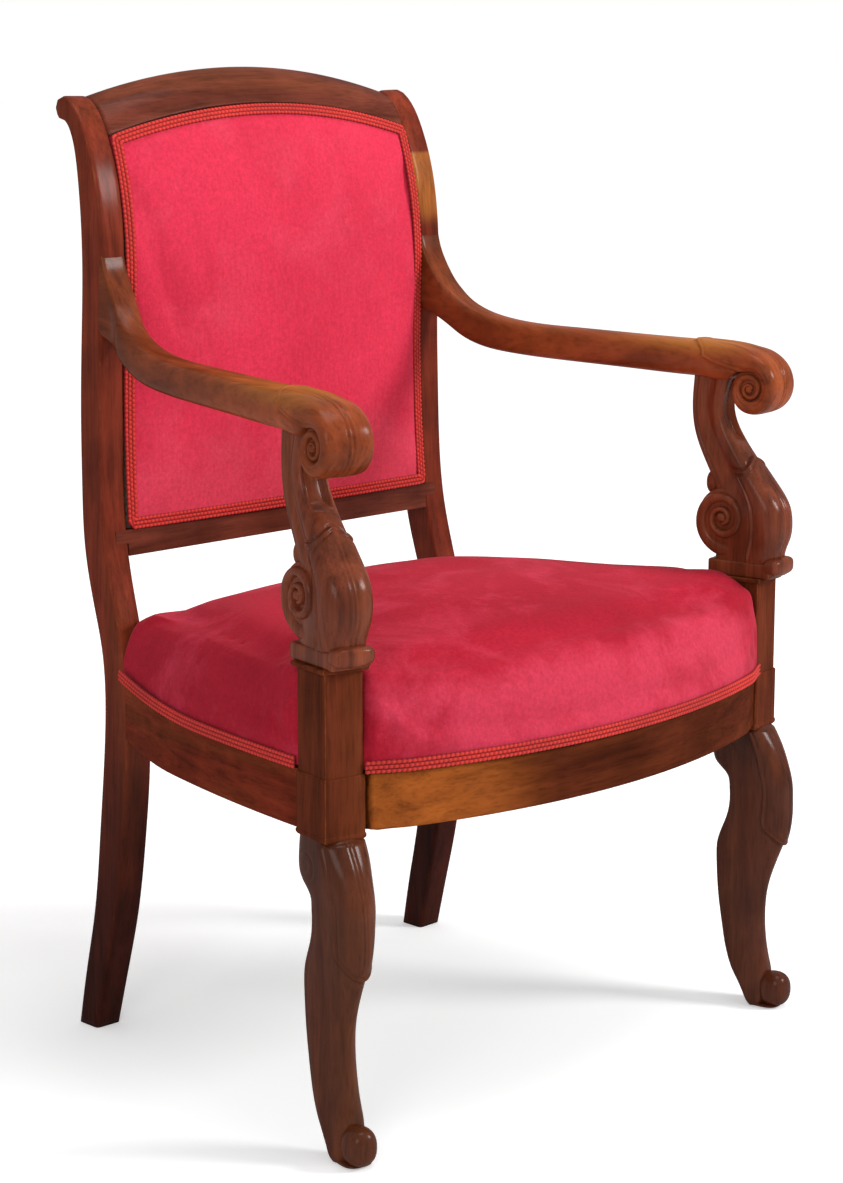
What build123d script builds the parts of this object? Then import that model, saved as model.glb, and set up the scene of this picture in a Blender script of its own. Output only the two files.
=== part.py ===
# Open armchair with a carved show-wood frame, sprung seat and padded back.
# Millimetres. The front faces -Y, +X is the right-hand side seen from the front, z = 0 is the floor.
from build123d import *
from math import atan2, cos, degrees, pi, radians, sin, sqrt
import os

os.makedirs("parts", exist_ok=True)

# Fits
clearance = 0.2          # play of a tenon, dowel or screw in its hole
soft_gap = 0.3           # space between a soft piece and what it lies against

# Rear leg and upright
leg_foot_x = 239.1       # outer face at the floor
leg_lean = 1.14          # degrees that the upright leans in
leg_width = 29.0
upright_front = 197.0    # front face of the upright above the seat

# Front leg with its square block and post
post_x = 281.7
post_y = -180.0
post_width = 42.0
post_front = 23.0        # from the post centre to the front face
post_rear = 26.0         # from the post centre to the rear face
block_bottom = 289.0
block_top = 345.0
block_step = 1.5         # the block stands this proud of the post above it
post_top = 437.0
plate_height = 4.0
plate_overhang = 3.0
toe_radius = 20.0

# Arms and consoles
arm_underside = 634.0    # where the console meets the arm
arm_height = 35.0        # depth of the arm above the console
arm_joint_rise = 54.0    # the joint on the upright starts this far above the underside
arm_joint_height = 72.0
arm_joint_depth = 12.0
arm_front_half = 23.0    # half width at the scroll
arm_rear_half = 14.5     # half width at the upright
scroll_radius = 25.0
console_width = 38.0
volute_radius = 35.0
volute_relief = 1.5      # the carved discs stand this proud of the sides
dowel_radius = 5.0
dowel_depth = 20.0       # into each piece

# Seat frame
front_rail_bottom = 294.5
gimp_line = 345.0        # lower edge of the upholstery
rail_thickness = 24.0
rebate = 4.0             # step behind the upholstery
rebate_height = 17.0
seat_apex = -263.0       # front of the bowed front rail
front_corner_x = 298.0
front_corner_y = -196.0
side_mid_x = 273.0
rear_corner_x = 224.0
rear_corner_y = 191.0
side_rise = 24.0         # the edge of the side upholstery climbs this much at the rear corner
side_lift = 17.0         # the underside of the side rail climbs this much at the rear corner
tenon_thickness = 9.0
tenon_length = 16.0
tenon_height = 34.0
tenon_root = 6.0         # part of the tenon box that stays inside its own rail
block_height = 30.0
screw_radius = 2.0
screw_head_radius = 4.0
screw_head_height = 2.5
screw_length = 34.0

# Seat upholstery
cover_thickness = 2.0
seat_crown = 456.0
seat_bulge = 6.0         # how far the seat swells past the rail
braid_height = 11.0
braid_thickness = 2.5
webbing_thickness = 2.0
webbing_width = 50.0
webbing_lap = 10.0       # webbing stops this far inside the outer face of the rail
spring_radius = 30.0
spring_wire_radius = 1.8
spring_turns = 5
spring_share = 0.32      # the springs fill this share of the height from the rail to the crown
spring_rows = (-135.0, -35.0, 65.0)
spring_columns = (-112.0, 0.0, 112.0)
canvas_thickness = 1.5
dust_cover_thickness = 1.0

# Back
lower_rail_bottom = 473.0
lower_rail_face = 25.0   # height of the rail's bare face under the padding
lower_rail_lip = 23.0    # height of the rail behind the padding
back_rail_thickness = 17.5
panel_side_top = 871.0
crest_arch = 26.0        # rise of the crest from its ends to its middle
crest_end_x = 190.0
back_bulge = 14.0
back_pad = 8.0           # from the front of the cover's edge to the canvas
back_web_thickness = 1.0
back_half = 198.0

side_rail_bottom = front_rail_bottom - webbing_thickness
rebate_top = gimp_line + rebate_height
arm_top = arm_underside + arm_height
arm_joint_bottom = arm_underside + arm_joint_rise
arm_joint_top = arm_joint_bottom + arm_joint_height
spring_top = rebate_top + spring_share * (seat_crown - rebate_top)
panel_bottom = lower_rail_bottom + lower_rail_face
lower_rail_top = panel_bottom + lower_rail_lip
reach = panel_side_top   # length that passes any piece, for cutting


def write(part, name):
    part.label = name
    export_step(part, f"parts/{name}.step")


def write_pair(right, name):
    write(right.part, name + "_right")
    with BuildPart() as left:
        mirror(right.part, about=Plane.YZ)
    write(left.part, name + "_left")


# Shared places: the upright leans in, the arm runs from the post to the upright
lean = radians(leg_lean)
leg_plane = Plane((leg_foot_x, 0, 0), x_dir=(0, 1, 0), z_dir=(cos(lean), 0, sin(lean)))


def upright_outer(z):
    return leg_foot_x - z * sin(lean)


def upright_inner(z):
    return upright_outer(z) - leg_width


arm_target_x = upright_outer(arm_joint_bottom) - leg_width / 2
turn = atan2(post_x - arm_target_x, upright_front - post_y)
front_way = (sin(turn), -cos(turn), 0)
out_way = (cos(turn), sin(turn), 0)
# Upright plane through the post: local x forwards, local y up, normal inwards
arm_plane = Plane((post_x, post_y, 0), x_dir=front_way, z_dir=(-out_way[0], -out_way[1], 0))
# Level plane through the post: local x forwards, local y outwards
post_plane = Plane((post_x, post_y, 0), x_dir=front_way, z_dir=(0, 0, 1))


def post_spot(forward, outward, z):
    x = post_x + forward * front_way[0] + outward * out_way[0]
    y = post_y + forward * front_way[1] + outward * out_way[1]
    return Location((x, y, z), (0, 0, degrees(turn) - 90))


# Seat outline, moved outwards by a distance

def front_corner(out):
    return (front_corner_x + out, front_corner_y - 0.75 * out)


def rear_corner(out):
    return (rear_corner_x + out, rear_corner_y + out)


def seat_outline(out):
    right_front = front_corner(out)
    right_rear = rear_corner(out)
    left_front = (-right_front[0], right_front[1])
    left_rear = (-right_rear[0], right_rear[1])
    ThreePointArc(left_front, (0, seat_apex - out), right_front)
    ThreePointArc(right_front, (side_mid_x + out, 0), right_rear)
    Line(right_rear, left_rear)
    ThreePointArc(left_rear, (-side_mid_x - out, 0), left_front)


def front_band(outer, inner):
    # strip along the bowed front between two distances from the outline
    start = front_corner(outer)
    end = front_corner(inner)
    ThreePointArc((-start[0], start[1]), (0, seat_apex - outer), start)
    Line(start, end)
    ThreePointArc(end, (0, seat_apex - inner), (-end[0], end[1]))
    Line((-end[0], end[1]), (-start[0], start[1]))


def side_band(outer, inner, rear_out=0.0):
    # strip along the side; its rear end may stand further out
    outer_front = front_corner(outer)
    outer_rear = rear_corner(outer + rear_out)
    inner_front = front_corner(inner)
    inner_rear = rear_corner(inner + rear_out)
    middle = side_mid_x + rear_out / 3
    ThreePointArc(outer_front, (middle + outer, 0), outer_rear)
    Line(outer_rear, inner_rear)
    ThreePointArc(inner_rear, (middle + inner, 0), inner_front)
    Line(inner_front, outer_front)


def side_level(low, low_rise, low_start, high, high_rise, high_start):
    # region seen from the side between two edges that climb towards the rear
    front = -reach
    rear = rear_corner_y + 2 * rail_thickness
    lower_run = Line((front, low), (low_start, low))
    lower_climb = TangentArc(lower_run @ 1, (rear_corner_y, low + low_rise), tangent=(1, 0))
    lower_end = Line(lower_climb @ 1, (rear, low + low_rise))
    upper_run = Line((front, high), (high_start, high))
    upper_climb = TangentArc(upper_run @ 1, (rear_corner_y, high + high_rise), tangent=(1, 0))
    upper_end = Line(upper_climb @ 1, (rear, high + high_rise))
    Line(lower_end @ 1, upper_end @ 1)
    Line(upper_run @ 0, lower_run @ 0)


rise_start = 0.0
lift_start = 60.0


def side_strip(outer, inner, low, low_rise, low_start, high, high_rise, high_start, rear_out=0.0):
    with BuildPart() as strip:
        with BuildSketch():
            with BuildLine():
                side_band(outer, inner, rear_out)
            make_face()
        extrude(amount=2 * reach)
        with BuildSketch(Plane.YZ):
            with BuildLine():
                side_level(low, low_rise, low_start, high, high_rise, high_start)
            make_face()
        extrude(amount=reach, mode=Mode.INTERSECT)
    return strip.part


# Blanks of the legs, before their mortises
with BuildPart() as rear_leg_blank:
    with BuildSketch(leg_plane):
        with BuildLine():
            front_edge = Spline((211, 0), (183, 118), (160.5, 292), (161, 351), (176, 422), (191, 482),
                                (upright_front, 560), (upright_front, 682), (194.5, 748), (204, 831), (231, 896))
            over_roll = ThreePointArc(front_edge @ 1, (253, 908), (264, 896))
            under_roll = ThreePointArc(over_roll @ 1, (257, 885), (247, 884))
            rear_edge = Spline(under_roll @ 1, (232.5, 848), (225.5, 748), (229.5, 587), (225, 482),
                               (199, 380), (195, 330), (212, 118), (238, 0))
            Line(rear_edge @ 1, front_edge @ 0)
        make_face()
    extrude(amount=-leg_width)
    # notch for the end of the arm
    with BuildSketch(leg_plane):
        Polygon((upright_front - leg_width, arm_joint_bottom), (upright_front, arm_joint_bottom),
                (upright_front + arm_joint_depth - 2, arm_joint_top),
                (upright_front - leg_width, arm_joint_top), align=None)
    extrude(amount=-leg_width, mode=Mode.SUBTRACT)
    split(bisect_by=Plane.XY, keep=Keep.TOP)

with BuildPart() as front_leg_blank:
    with BuildSketch(arm_plane):
        with BuildLine():
            shin = Spline((post_front, block_bottom), (38, 268), (50, 225), (48, 180), (33, 140), (27, 100),
                          (37, 38.6))
            toe = ThreePointArc(shin @ 1, (65.5, toe_radius), (48, 0.8))
            sole_front = Line(toe @ 1, (46, 0))
            sole = Line(sole_front @ 1, (28, 0))
            calf = Spline(sole @ 1, (14, 20), (-2.5, 70), (-15, 150), (-3, 212), (-6, 236))
            knee = ThreePointArc(calf @ 1, (-23, 250), (-post_rear, 272))
            Line(knee @ 1, (-post_rear, block_top))
            Line((-post_rear, block_top), (post_front, block_top))
            Line((post_front, block_top), shin @ 0)
        make_face()
    extrude(amount=post_width / 2, both=True)
    with BuildSketch(arm_plane):
        Polygon((-post_rear + block_step, block_top), (post_front - block_step, block_top),
                (post_front - block_step, post_top), (-post_rear + block_step, post_top), align=None)
    extrude(amount=post_width / 2 - block_step, both=True)
    with BuildSketch(arm_plane):
        Polygon((-post_rear - plate_overhang, post_top), (post_front + plate_overhang, post_top),
                (post_front + plate_overhang, post_top + plate_height),
                (-post_rear - plate_overhang, post_top + plate_height), align=None)
    extrude(amount=post_width / 2 + plate_overhang, both=True)
plate_top = post_top + plate_height

# Arm: sawn from one plank, scrolled at the front, turned up to the upright at the rear
scroll_x = 7.0
scroll_z = arm_underside - 7
arm_end = -405.0
with BuildPart() as arm_blank:
    with BuildSketch(arm_plane):
        with BuildLine():
            top_edge = Spline((-378, arm_joint_top), (-366, arm_joint_top - 27), (-351, arm_joint_top - 52),
                              (-326, arm_top + 19), (-277, arm_top + 7), (-204, arm_top + 3), (-60, arm_top),
                              (-15, arm_top - 1.5), (14, arm_top - 9), (scroll_x + scroll_radius, scroll_z))
            scroll = ThreePointArc(top_edge @ 1, (scroll_x, scroll_z - scroll_radius),
                                   (scroll_x - scroll_radius, scroll_z))
            lip = Line(scroll @ 1, (-19, arm_underside - 2))
            under_edge = Spline(lip @ 1, (-95, arm_underside + 2), (-235, arm_underside + 6),
                                (-308, arm_underside + 12), (-338, arm_underside + 23),
                                (-362, arm_joint_bottom - 12), (-384, arm_joint_bottom))
            Line(under_edge @ 1, (arm_end, arm_joint_bottom))
            Line((arm_end, arm_joint_bottom), (arm_end, arm_joint_top))
            Line((arm_end, arm_joint_top), top_edge @ 0)
        make_face()
    extrude(amount=arm_front_half + volute_relief, both=True)
    # the arm narrows in plan towards the upright
    with BuildSketch(post_plane):
        with BuildLine():
            outer_side = Spline((-270, arm_rear_half), (-120, 19), (-20, arm_front_half),
                                (60, arm_front_half), tangents=((1, 0), (1, 0)))
            nose = Line(outer_side @ 1, (60, -arm_front_half))
            inner_side = Spline(nose @ 1, (-20, -arm_front_half), (-120, -19), (-270, -arm_rear_half),
                                tangents=((-1, 0), (-1, 0)))
            Line(inner_side @ 1, (arm_end, -arm_rear_half))
            Line((arm_end, -arm_rear_half), (arm_end, arm_rear_half))
            Line((arm_end, arm_rear_half), outer_side @ 0)
        make_face()
    extrude(amount=2 * reach, mode=Mode.INTERSECT)
    # bearing on the notch of the upright
    with BuildSketch(leg_plane):
        Polygon((upright_front, arm_joint_bottom - 2 * leg_width), (upright_front, arm_joint_bottom),
                (upright_front + arm_joint_depth - 2, arm_joint_top),
                (upright_front - 2 * leg_width, arm_joint_top),
                (upright_front - 2 * leg_width, arm_joint_top + leg_width),
                (upright_front + 2 * leg_width, arm_joint_top + leg_width),
                (upright_front + 2 * leg_width, arm_joint_bottom - 2 * leg_width), align=None)
    extrude(amount=2 * leg_width, both=True, mode=Mode.SUBTRACT)

# Console: S-shaped stem on a plinth, with a volute behind, a bud above it and a roll at its foot
console_height = arm_underside - plate_top


def console_level(share):
    return plate_top + share * console_height


volute_x = -19.0
volute_z = console_level(0.254)
with BuildPart() as console_blank:
    with BuildSketch(arm_plane):
        with BuildLine():
            plinth_front = Line((34, plate_top), (34, plate_top + 15))
            bulge = Spline(plinth_front @ 1, (40, console_level(0.2)), (41, console_level(0.33)),
                           (26, console_level(0.46)), (2, console_level(0.62)), (-17, console_level(0.77)),
                           (-23, arm_underside + 6))
            head = Line(bulge @ 1, (-59, arm_underside + 6))
            stem = Spline(head @ 1, (-61, console_level(0.85)), (-56, console_level(0.71)),
                          (-43, console_level(0.55)), (-26, console_level(0.41)), (-30, console_level(0.15)),
                          (-36, plate_top + 15))
            heel = Line(stem @ 1, (-36, plate_top))
            Line(heel @ 1, plinth_front @ 0)
        make_face()
    extrude(amount=console_width / 2, both=True)
    with BuildSketch(arm_plane):
        with Locations((volute_x, volute_z)):
            Circle(volute_radius)
        with Locations((volute_x - volute_radius + 8, volute_z + volute_radius)):
            Circle(10)
        with Locations((34, plate_top + 11)):
            Circle(9)
    extrude(amount=console_width / 2 + volute_relief, both=True)
    add(arm_blank.part, mode=Mode.SUBTRACT)
    with Locations(post_spot(0, 0, plate_top - reach / 2)):
        Box(reach, reach, reach, mode=Mode.SUBTRACT)

# Dowels: post to console, console to arm, arm to upright
console_dowel_spots = ((-2.0, plate_top), (-41.0, arm_underside + 1))
arm_dowel_z = arm_joint_bottom + arm_joint_height / 2 - 2
arm_dowel_face = -389.0
with BuildPart() as console_dowel:
    for forward, level in console_dowel_spots:
        with BuildSketch(post_plane.offset(level - dowel_depth)):
            with Locations((forward, 0)):
                Circle(dowel_radius)
        extrude(amount=2 * dowel_depth)
with BuildPart() as console_dowel_hole:
    for forward, level in console_dowel_spots:
        with BuildSketch(post_plane.offset(level - dowel_depth - clearance)):
            with Locations((forward, 0)):
                Circle(dowel_radius + clearance)
        extrude(amount=2 * (dowel_depth + clearance))
arm_dowel_plane = Plane(post_spot(arm_dowel_face, 0, arm_dowel_z).position, z_dir=front_way)
with BuildPart() as arm_dowel:
    with BuildSketch(arm_dowel_plane.offset(-dowel_depth)):
        Circle(dowel_radius - 0.5)
    extrude(amount=2 * dowel_depth)
with BuildPart() as arm_dowel_hole:
    with BuildSketch(arm_dowel_plane.offset(-dowel_depth - clearance)):
        Circle(dowel_radius - 0.5 + clearance)
    extrude(amount=2 * (dowel_depth + clearance))

with BuildPart() as arm_console:
    add(console_blank.part)
    add(console_dowel_hole.part, mode=Mode.SUBTRACT)
with BuildPart() as armrest:
    add(arm_blank.part)
    add(console_dowel_hole.part, mode=Mode.SUBTRACT)
    add(arm_dowel_hole.part, mode=Mode.SUBTRACT)
write_pair(arm_console, "arm_console")
write_pair(armrest, "armrest")
for name, dowel in (("console_dowels", console_dowel), ("arm_dowels", arm_dowel)):
    with BuildPart() as dowels:
        add(dowel.part)
        mirror(dowel.part, about=Plane.YZ)
    write(dowels.part, name)

# Face of the lower back rail, leaning with the uprights
lower_front = upright_front - 6.3
rail_slope = 0.077


def lower_face(z):
    return lower_front + rail_slope * (z - lower_rail_bottom)


# Depths of the layers of the back, from the face of its edge
canvas_front = back_pad + soft_gap
web_front = canvas_front + canvas_thickness + soft_gap
cross_front = web_front + back_web_thickness + soft_gap
back_rebate = cross_front + back_web_thickness + soft_gap
outside_depth = back_rail_thickness + soft_gap

# Tenons, as boxes that a rail gains and its leg loses: centre, size along the tenon, across it and upright
tenon_middle = (front_rail_bottom + gimp_line) / 2
tenon_span = tenon_length + tenon_root
tenon_shift = (tenon_length - tenon_root) / 2
front_tenon_spot = post_spot(12.0, tenon_shift - post_width / 2, tenon_middle)
side_front_tenon_spot = post_spot(tenon_shift - post_rear, 6.0, tenon_middle)
leg_face_y = 160.5
side_rear_tenon_x = upright_inner(tenon_middle) + leg_width / 2 + 0.5
side_rear_tenon_spot = Location((side_rear_tenon_x, leg_face_y + tenon_shift, tenon_middle + 8))
rear_rail_y = rear_corner_y - rail_thickness / 2
rear_tenon_spot = Location((upright_inner(tenon_middle) + tenon_shift, rear_rail_y + 5, tenon_middle))
lower_tenon_z = (lower_rail_bottom + panel_bottom) / 2
lower_tenon_y = lower_face(lower_tenon_z) + back_rail_thickness / 2
lower_tenon_height = panel_bottom - lower_rail_bottom - 5
lower_tenon_spot = Location((upright_inner(lower_tenon_z) + tenon_shift, lower_tenon_y, lower_tenon_z))
crest_tenon_y = 233.0
crest_tenon_z = 882.0
crest_tenon_spot = Location((upright_inner(crest_tenon_z) + tenon_shift, crest_tenon_y, crest_tenon_z))


def tenon(spot, along_x, height, grow=0.0):
    # a tenon that runs along the local x or the local y of its place
    long = tenon_span + 2 * grow
    thick = tenon_thickness + 2 * grow
    mode = Mode.SUBTRACT if grow else Mode.ADD
    with Locations(spot):
        Box(long if along_x else thick, thick if along_x else long, height + 2 * grow, mode=mode)


# Rails of the seat
beyond_post = post_spot(0, reach / 2 - post_width / 2, 0)
with BuildPart() as front_seat_rail:
    with BuildSketch(Plane.XY.offset(front_rail_bottom)):
        with BuildLine():
            front_band(0, -rail_thickness)
        make_face()
    extrude(amount=gimp_line - front_rail_bottom)
    with BuildSketch(Plane.XY.offset(gimp_line)):
        with BuildLine():
            front_band(-rebate, -rail_thickness)
        make_face()
    extrude(amount=rebate_height)
    with Locations(beyond_post):
        Box(reach, reach, 2 * reach, mode=Mode.SUBTRACT)
    split(bisect_by=Plane.YZ, keep=Keep.TOP)
    tenon(front_tenon_spot, False, tenon_height)
    mirror(about=Plane.YZ)

side_lower = side_strip(0, -rail_thickness, side_rail_bottom, side_lift, lift_start,
                        gimp_line, side_rise, rise_start)
side_upper = side_strip(-rebate, -rail_thickness, gimp_line, side_rise, rise_start,
                        rebate_top, side_rise, rise_start)
before_post = post_spot(reach / 2 - post_rear, 0, 0)
with BuildPart() as side_seat_rail:
    add(side_lower)
    add(side_upper)
    with Locations(before_post):
        Box(reach, reach, 2 * reach, mode=Mode.SUBTRACT)
    with Locations((rear_corner_x, leg_face_y + 1 + reach / 2, 0)):
        Box(reach, reach, 2 * reach, mode=Mode.SUBTRACT)
    add(rear_leg_blank.part, mode=Mode.SUBTRACT)
    tenon(side_front_tenon_spot, True, tenon_height)
    tenon(side_rear_tenon_spot, False, tenon_height)

with BuildPart() as rear_seat_rail:
    with BuildSketch(Plane.YZ):
        Polygon((rear_corner_y - rail_thickness, front_rail_bottom), (rear_corner_y, front_rail_bottom),
                (rear_corner_y, gimp_line), (rear_corner_y - rebate, gimp_line),
                (rear_corner_y - rebate, rebate_top), (rear_corner_y - rail_thickness, rebate_top), align=None)
    extrude(amount=upright_outer(front_rail_bottom) - leg_width / 2)
    add(rear_leg_blank.part, mode=Mode.SUBTRACT)
    tenon(rear_tenon_spot, True, tenon_height)
    mirror(about=Plane.YZ)

# Back rails
with BuildPart() as lower_back_rail:
    with BuildSketch(Plane.YZ):
        Polygon((lower_face(lower_rail_bottom), lower_rail_bottom), (lower_face(panel_bottom), panel_bottom),
                (lower_face(panel_bottom) + back_rebate, panel_bottom),
                (lower_face(lower_rail_top) + back_rebate, lower_rail_top),
                (lower_face(lower_rail_top) + back_rail_thickness, lower_rail_top),
                (lower_face(lower_rail_bottom) + back_rail_thickness, lower_rail_bottom), align=None)
    extrude(amount=upright_inner(lower_rail_bottom) + leg_width / 2)
    add(rear_leg_blank.part, mode=Mode.SUBTRACT)
    tenon(lower_tenon_spot, True, lower_tenon_height)
    mirror(about=Plane.YZ)


def arch(x):
    return crest_arch * (1 - (x / crest_end_x) ** 2)


crest_stations = (-crest_end_x - 12, -crest_end_x / 2, 0, crest_end_x / 2, crest_end_x + 12)
with BuildPart() as crest_blank:
    for x in crest_stations:
        up = arch(x)
        with BuildSketch(Plane.YZ.offset(x)):
            with BuildLine():
                face = ThreePointArc((217.5, 872 + up), (230.5, 893 + up), (250, 905.5 + up))
                roll = ThreePointArc(face @ 1, (258, 905.5 + up), (261, 898 + up))
                back = ThreePointArc(roll @ 1, (246, 889 + up), (235, 871 + up))
                Line(back @ 1, face @ 0)
            make_face()
    loft()
crest_tenon_height = 16.0
with BuildPart() as crest_rail:
    add(crest_blank.part)
    split(bisect_by=Plane.YZ, keep=Keep.TOP)
    add(rear_leg_blank.part, mode=Mode.SUBTRACT)
    tenon(crest_tenon_spot, True, crest_tenon_height)
    mirror(about=Plane.YZ)

# Corner blocks, glued and screwed into the corners of the seat frame
block_bottom_z = front_rail_bottom + 8
front_block = ((192, -214), (276, -187), (276, -90))
rear_block = ((130, 175), (222, 175), (240, 85))
screw_z = block_bottom_z + block_height / 2


def on_long_side(block, share):
    # point on the open side of a block
    first = block[0]
    last = block[2]
    return (first[0] + share * (last[0] - first[0]), first[1] + share * (last[1] - first[1]), screw_z)


screw_places = ((on_long_side(front_block, 0.27), (0, -1, 0)), (on_long_side(front_block, 0.72), (1, 0, 0)),
                (on_long_side(rear_block, 0.32), (0, 1, 0)), (on_long_side(rear_block, 0.66), (1, 0, 0)))


def screws(grow=0.0):
    with BuildPart() as group:
        for start, way in screw_places:
            seat = Plane(start, z_dir=way)
            with BuildSketch(seat):
                Circle(screw_radius + grow)
            extrude(amount=screw_length + grow)
            with BuildSketch(seat.offset(-grow * leg_width)):
                Circle(screw_head_radius + grow)
            extrude(amount=screw_head_height + grow * (leg_width + 1))
    return group.part


screw_group = screws()
screw_holes = screws(clearance)
with BuildPart() as corner_block_pair:
    for outline in (front_block, rear_block):
        with BuildSketch(Plane.XY.offset(block_bottom_z)):
            Polygon(*outline, align=None)
        extrude(amount=block_height)
    add(front_seat_rail.part, mode=Mode.SUBTRACT)
    add(side_seat_rail.part, mode=Mode.SUBTRACT)
    add(rear_seat_rail.part, mode=Mode.SUBTRACT)
    add(front_leg_blank.part, mode=Mode.SUBTRACT)
    add(rear_leg_blank.part, mode=Mode.SUBTRACT)
    add(screw_holes, mode=Mode.SUBTRACT)
with BuildPart() as corner_blocks:
    add(corner_block_pair.part)
    mirror(corner_block_pair.part, about=Plane.YZ)
with BuildPart() as block_screws:
    add(screw_group)
    mirror(screw_group, about=Plane.YZ)
write(corner_blocks.part, "corner_blocks")
write(block_screws.part, "block_screws")

# Legs with their mortises
with BuildPart() as rear_leg:
    add(rear_leg_blank.part)
    tenon(side_rear_tenon_spot, False, tenon_height, clearance)
    tenon(rear_tenon_spot, True, tenon_height, clearance)
    tenon(lower_tenon_spot, True, lower_tenon_height, clearance)
    tenon(crest_tenon_spot, True, crest_tenon_height, clearance)
    add(arm_dowel_hole.part, mode=Mode.SUBTRACT)
with BuildPart() as front_leg:
    add(front_leg_blank.part)
    tenon(front_tenon_spot, False, tenon_height, clearance)
    tenon(side_front_tenon_spot, True, tenon_height, clearance)
    add(console_dowel_hole.part, mode=Mode.SUBTRACT)
write_pair(rear_leg, "rear_leg")
write_pair(front_leg, "front_leg")

# Rails with their screw holes
screw_holes_left = mirror(screw_holes, about=Plane.YZ)
with BuildPart() as front_rail_drilled:
    add(front_seat_rail.part)
    add(screw_holes, mode=Mode.SUBTRACT)
    add(screw_holes_left, mode=Mode.SUBTRACT)
with BuildPart() as rear_rail_drilled:
    add(rear_seat_rail.part)
    add(screw_holes, mode=Mode.SUBTRACT)
    add(screw_holes_left, mode=Mode.SUBTRACT)
with BuildPart() as side_rail_drilled:
    add(side_seat_rail.part)
    add(screw_holes, mode=Mode.SUBTRACT)
write(front_rail_drilled.part, "front_seat_rail")
write(rear_rail_drilled.part, "rear_seat_rail")
write_pair(side_rail_drilled, "side_seat_rail")
write(lower_back_rail.part, "lower_back_rail")
write(crest_rail.part, "crest_rail")

# Webbing under the seat: long strips on the front and rear rails, cross strips below them on the side rails
long_strips = (-120.0, -40.0, 40.0, 120.0)
cross_strips = (-121.0, -49.0, 23.0, 95.0)


def arc_radius(sagitta, half_chord):
    return (sagitta ** 2 + half_chord ** 2) / (2 * sagitta)


front_radius = arc_radius(front_corner_y - seat_apex, front_corner_x)


def front_y(x):
    return seat_apex + front_radius - sqrt(front_radius ** 2 - x ** 2)


with BuildPart() as seat_webbing_long:
    for x in long_strips:
        start = front_y(abs(x) + webbing_width / 2) + webbing_lap
        end = rear_corner_y - webbing_lap
        with Locations((x, (start + end) / 2, front_rail_bottom - webbing_thickness / 2)):
            Box(webbing_width, end - start, webbing_thickness)
write(seat_webbing_long.part, "seat_webbing_long")

with BuildPart() as side_inside:
    with BuildSketch(Plane.XY.offset(side_rail_bottom - webbing_thickness)):
        with BuildLine():
            seat_outline(-webbing_lap)
        make_face()
    extrude(amount=webbing_thickness)
with BuildPart() as seat_webbing_cross:
    for y in cross_strips:
        with Locations((0, y, side_rail_bottom - webbing_thickness / 2)):
            Box(2 * reach, webbing_width, webbing_thickness)
    add(side_inside.part, mode=Mode.INTERSECT)
write(seat_webbing_cross.part, "seat_webbing_cross")

# Cloth that closes the underside
with BuildPart() as dust_cover:
    with BuildSketch(Plane.XY.offset(side_rail_bottom - webbing_thickness - dust_cover_thickness)):
        with BuildLine():
            seat_outline(-webbing_lap / 2)
        make_face()
    extrude(amount=dust_cover_thickness)
    with Locations(post_spot(reach / 2 - post_rear - soft_gap, reach / 2 - post_width / 2 - soft_gap, 0)):
        Box(reach, reach, 2 * reach, mode=Mode.SUBTRACT)
    with Locations((upright_inner(gimp_line) - 1 + reach / 2, leg_face_y - 1 + reach / 2, 0)):
        Box(reach, reach, 2 * reach, mode=Mode.SUBTRACT)
    split(bisect_by=Plane.YZ, keep=Keep.TOP)
    mirror(about=Plane.YZ)
write(dust_cover.part, "dust_cover")

# Seat springs: each a round wire in rising turns, made of quarter-turn arcs
spring_low = front_rail_bottom + spring_wire_radius + soft_gap
spring_high = spring_top - spring_wire_radius
quarters = 4 * spring_turns


def spring_point(share):
    angle = 2 * pi * spring_turns * share
    height = spring_low + (spring_high - spring_low) * share
    return (spring_radius * cos(angle), spring_radius * sin(angle), height)


with BuildPart() as spring:
    with BuildLine() as spring_path:
        for step in range(quarters):
            ThreePointArc(spring_point(step / quarters), spring_point((step + 0.5) / quarters),
                          spring_point((step + 1) / quarters))
    with BuildSketch(Plane(spring_path.line @ 0, z_dir=spring_path.line % 0)):
        Circle(spring_wire_radius)
    sweep(path=spring_path.line)
with BuildPart() as seat_springs:
    with Locations(*[(x, y, 0) for x in spring_columns for y in spring_rows]):
        add(spring.part)
write(seat_springs.part, "seat_springs")


# Padding of the seat: outlines that swell past the rail, then draw in to the crown,
# each at a share of the height and a distance from the seat outline
pad_profile = ((0, 1.5), (0.15, 2.2), (0.36, seat_bulge), (0.58, -2.0), (0.74, -27.0), (0.84, -58.0),
               (0.91, -92.0), (0.96, -126.0), (0.99, -160.0), (1, -192.0))


def seat_pad(inset, bottom):
    with BuildPart() as pad:
        for share, out in pad_profile:
            height = bottom + share * (seat_crown - inset - bottom)
            with BuildSketch(Plane.XY.offset(height)):
                with BuildLine():
                    seat_outline(out - inset)
                make_face()
        loft()
    return pad.part


# Canvas over the springs, tacked to the tops of the rails
def canvas_hood(shrink):
    with BuildPart() as hood:
        with BuildSketch(Plane.XY.offset(rebate_top + soft_gap)):
            with BuildLine():
                seat_outline(-rail_thickness / 2 - shrink)
            make_face()
        with BuildSketch(Plane.XY.offset(spring_top + soft_gap + canvas_thickness - shrink)):
            with BuildLine():
                seat_outline(-3 * rail_thickness - shrink)
            make_face()
        loft(ruled=True)
    return hood.part


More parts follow.
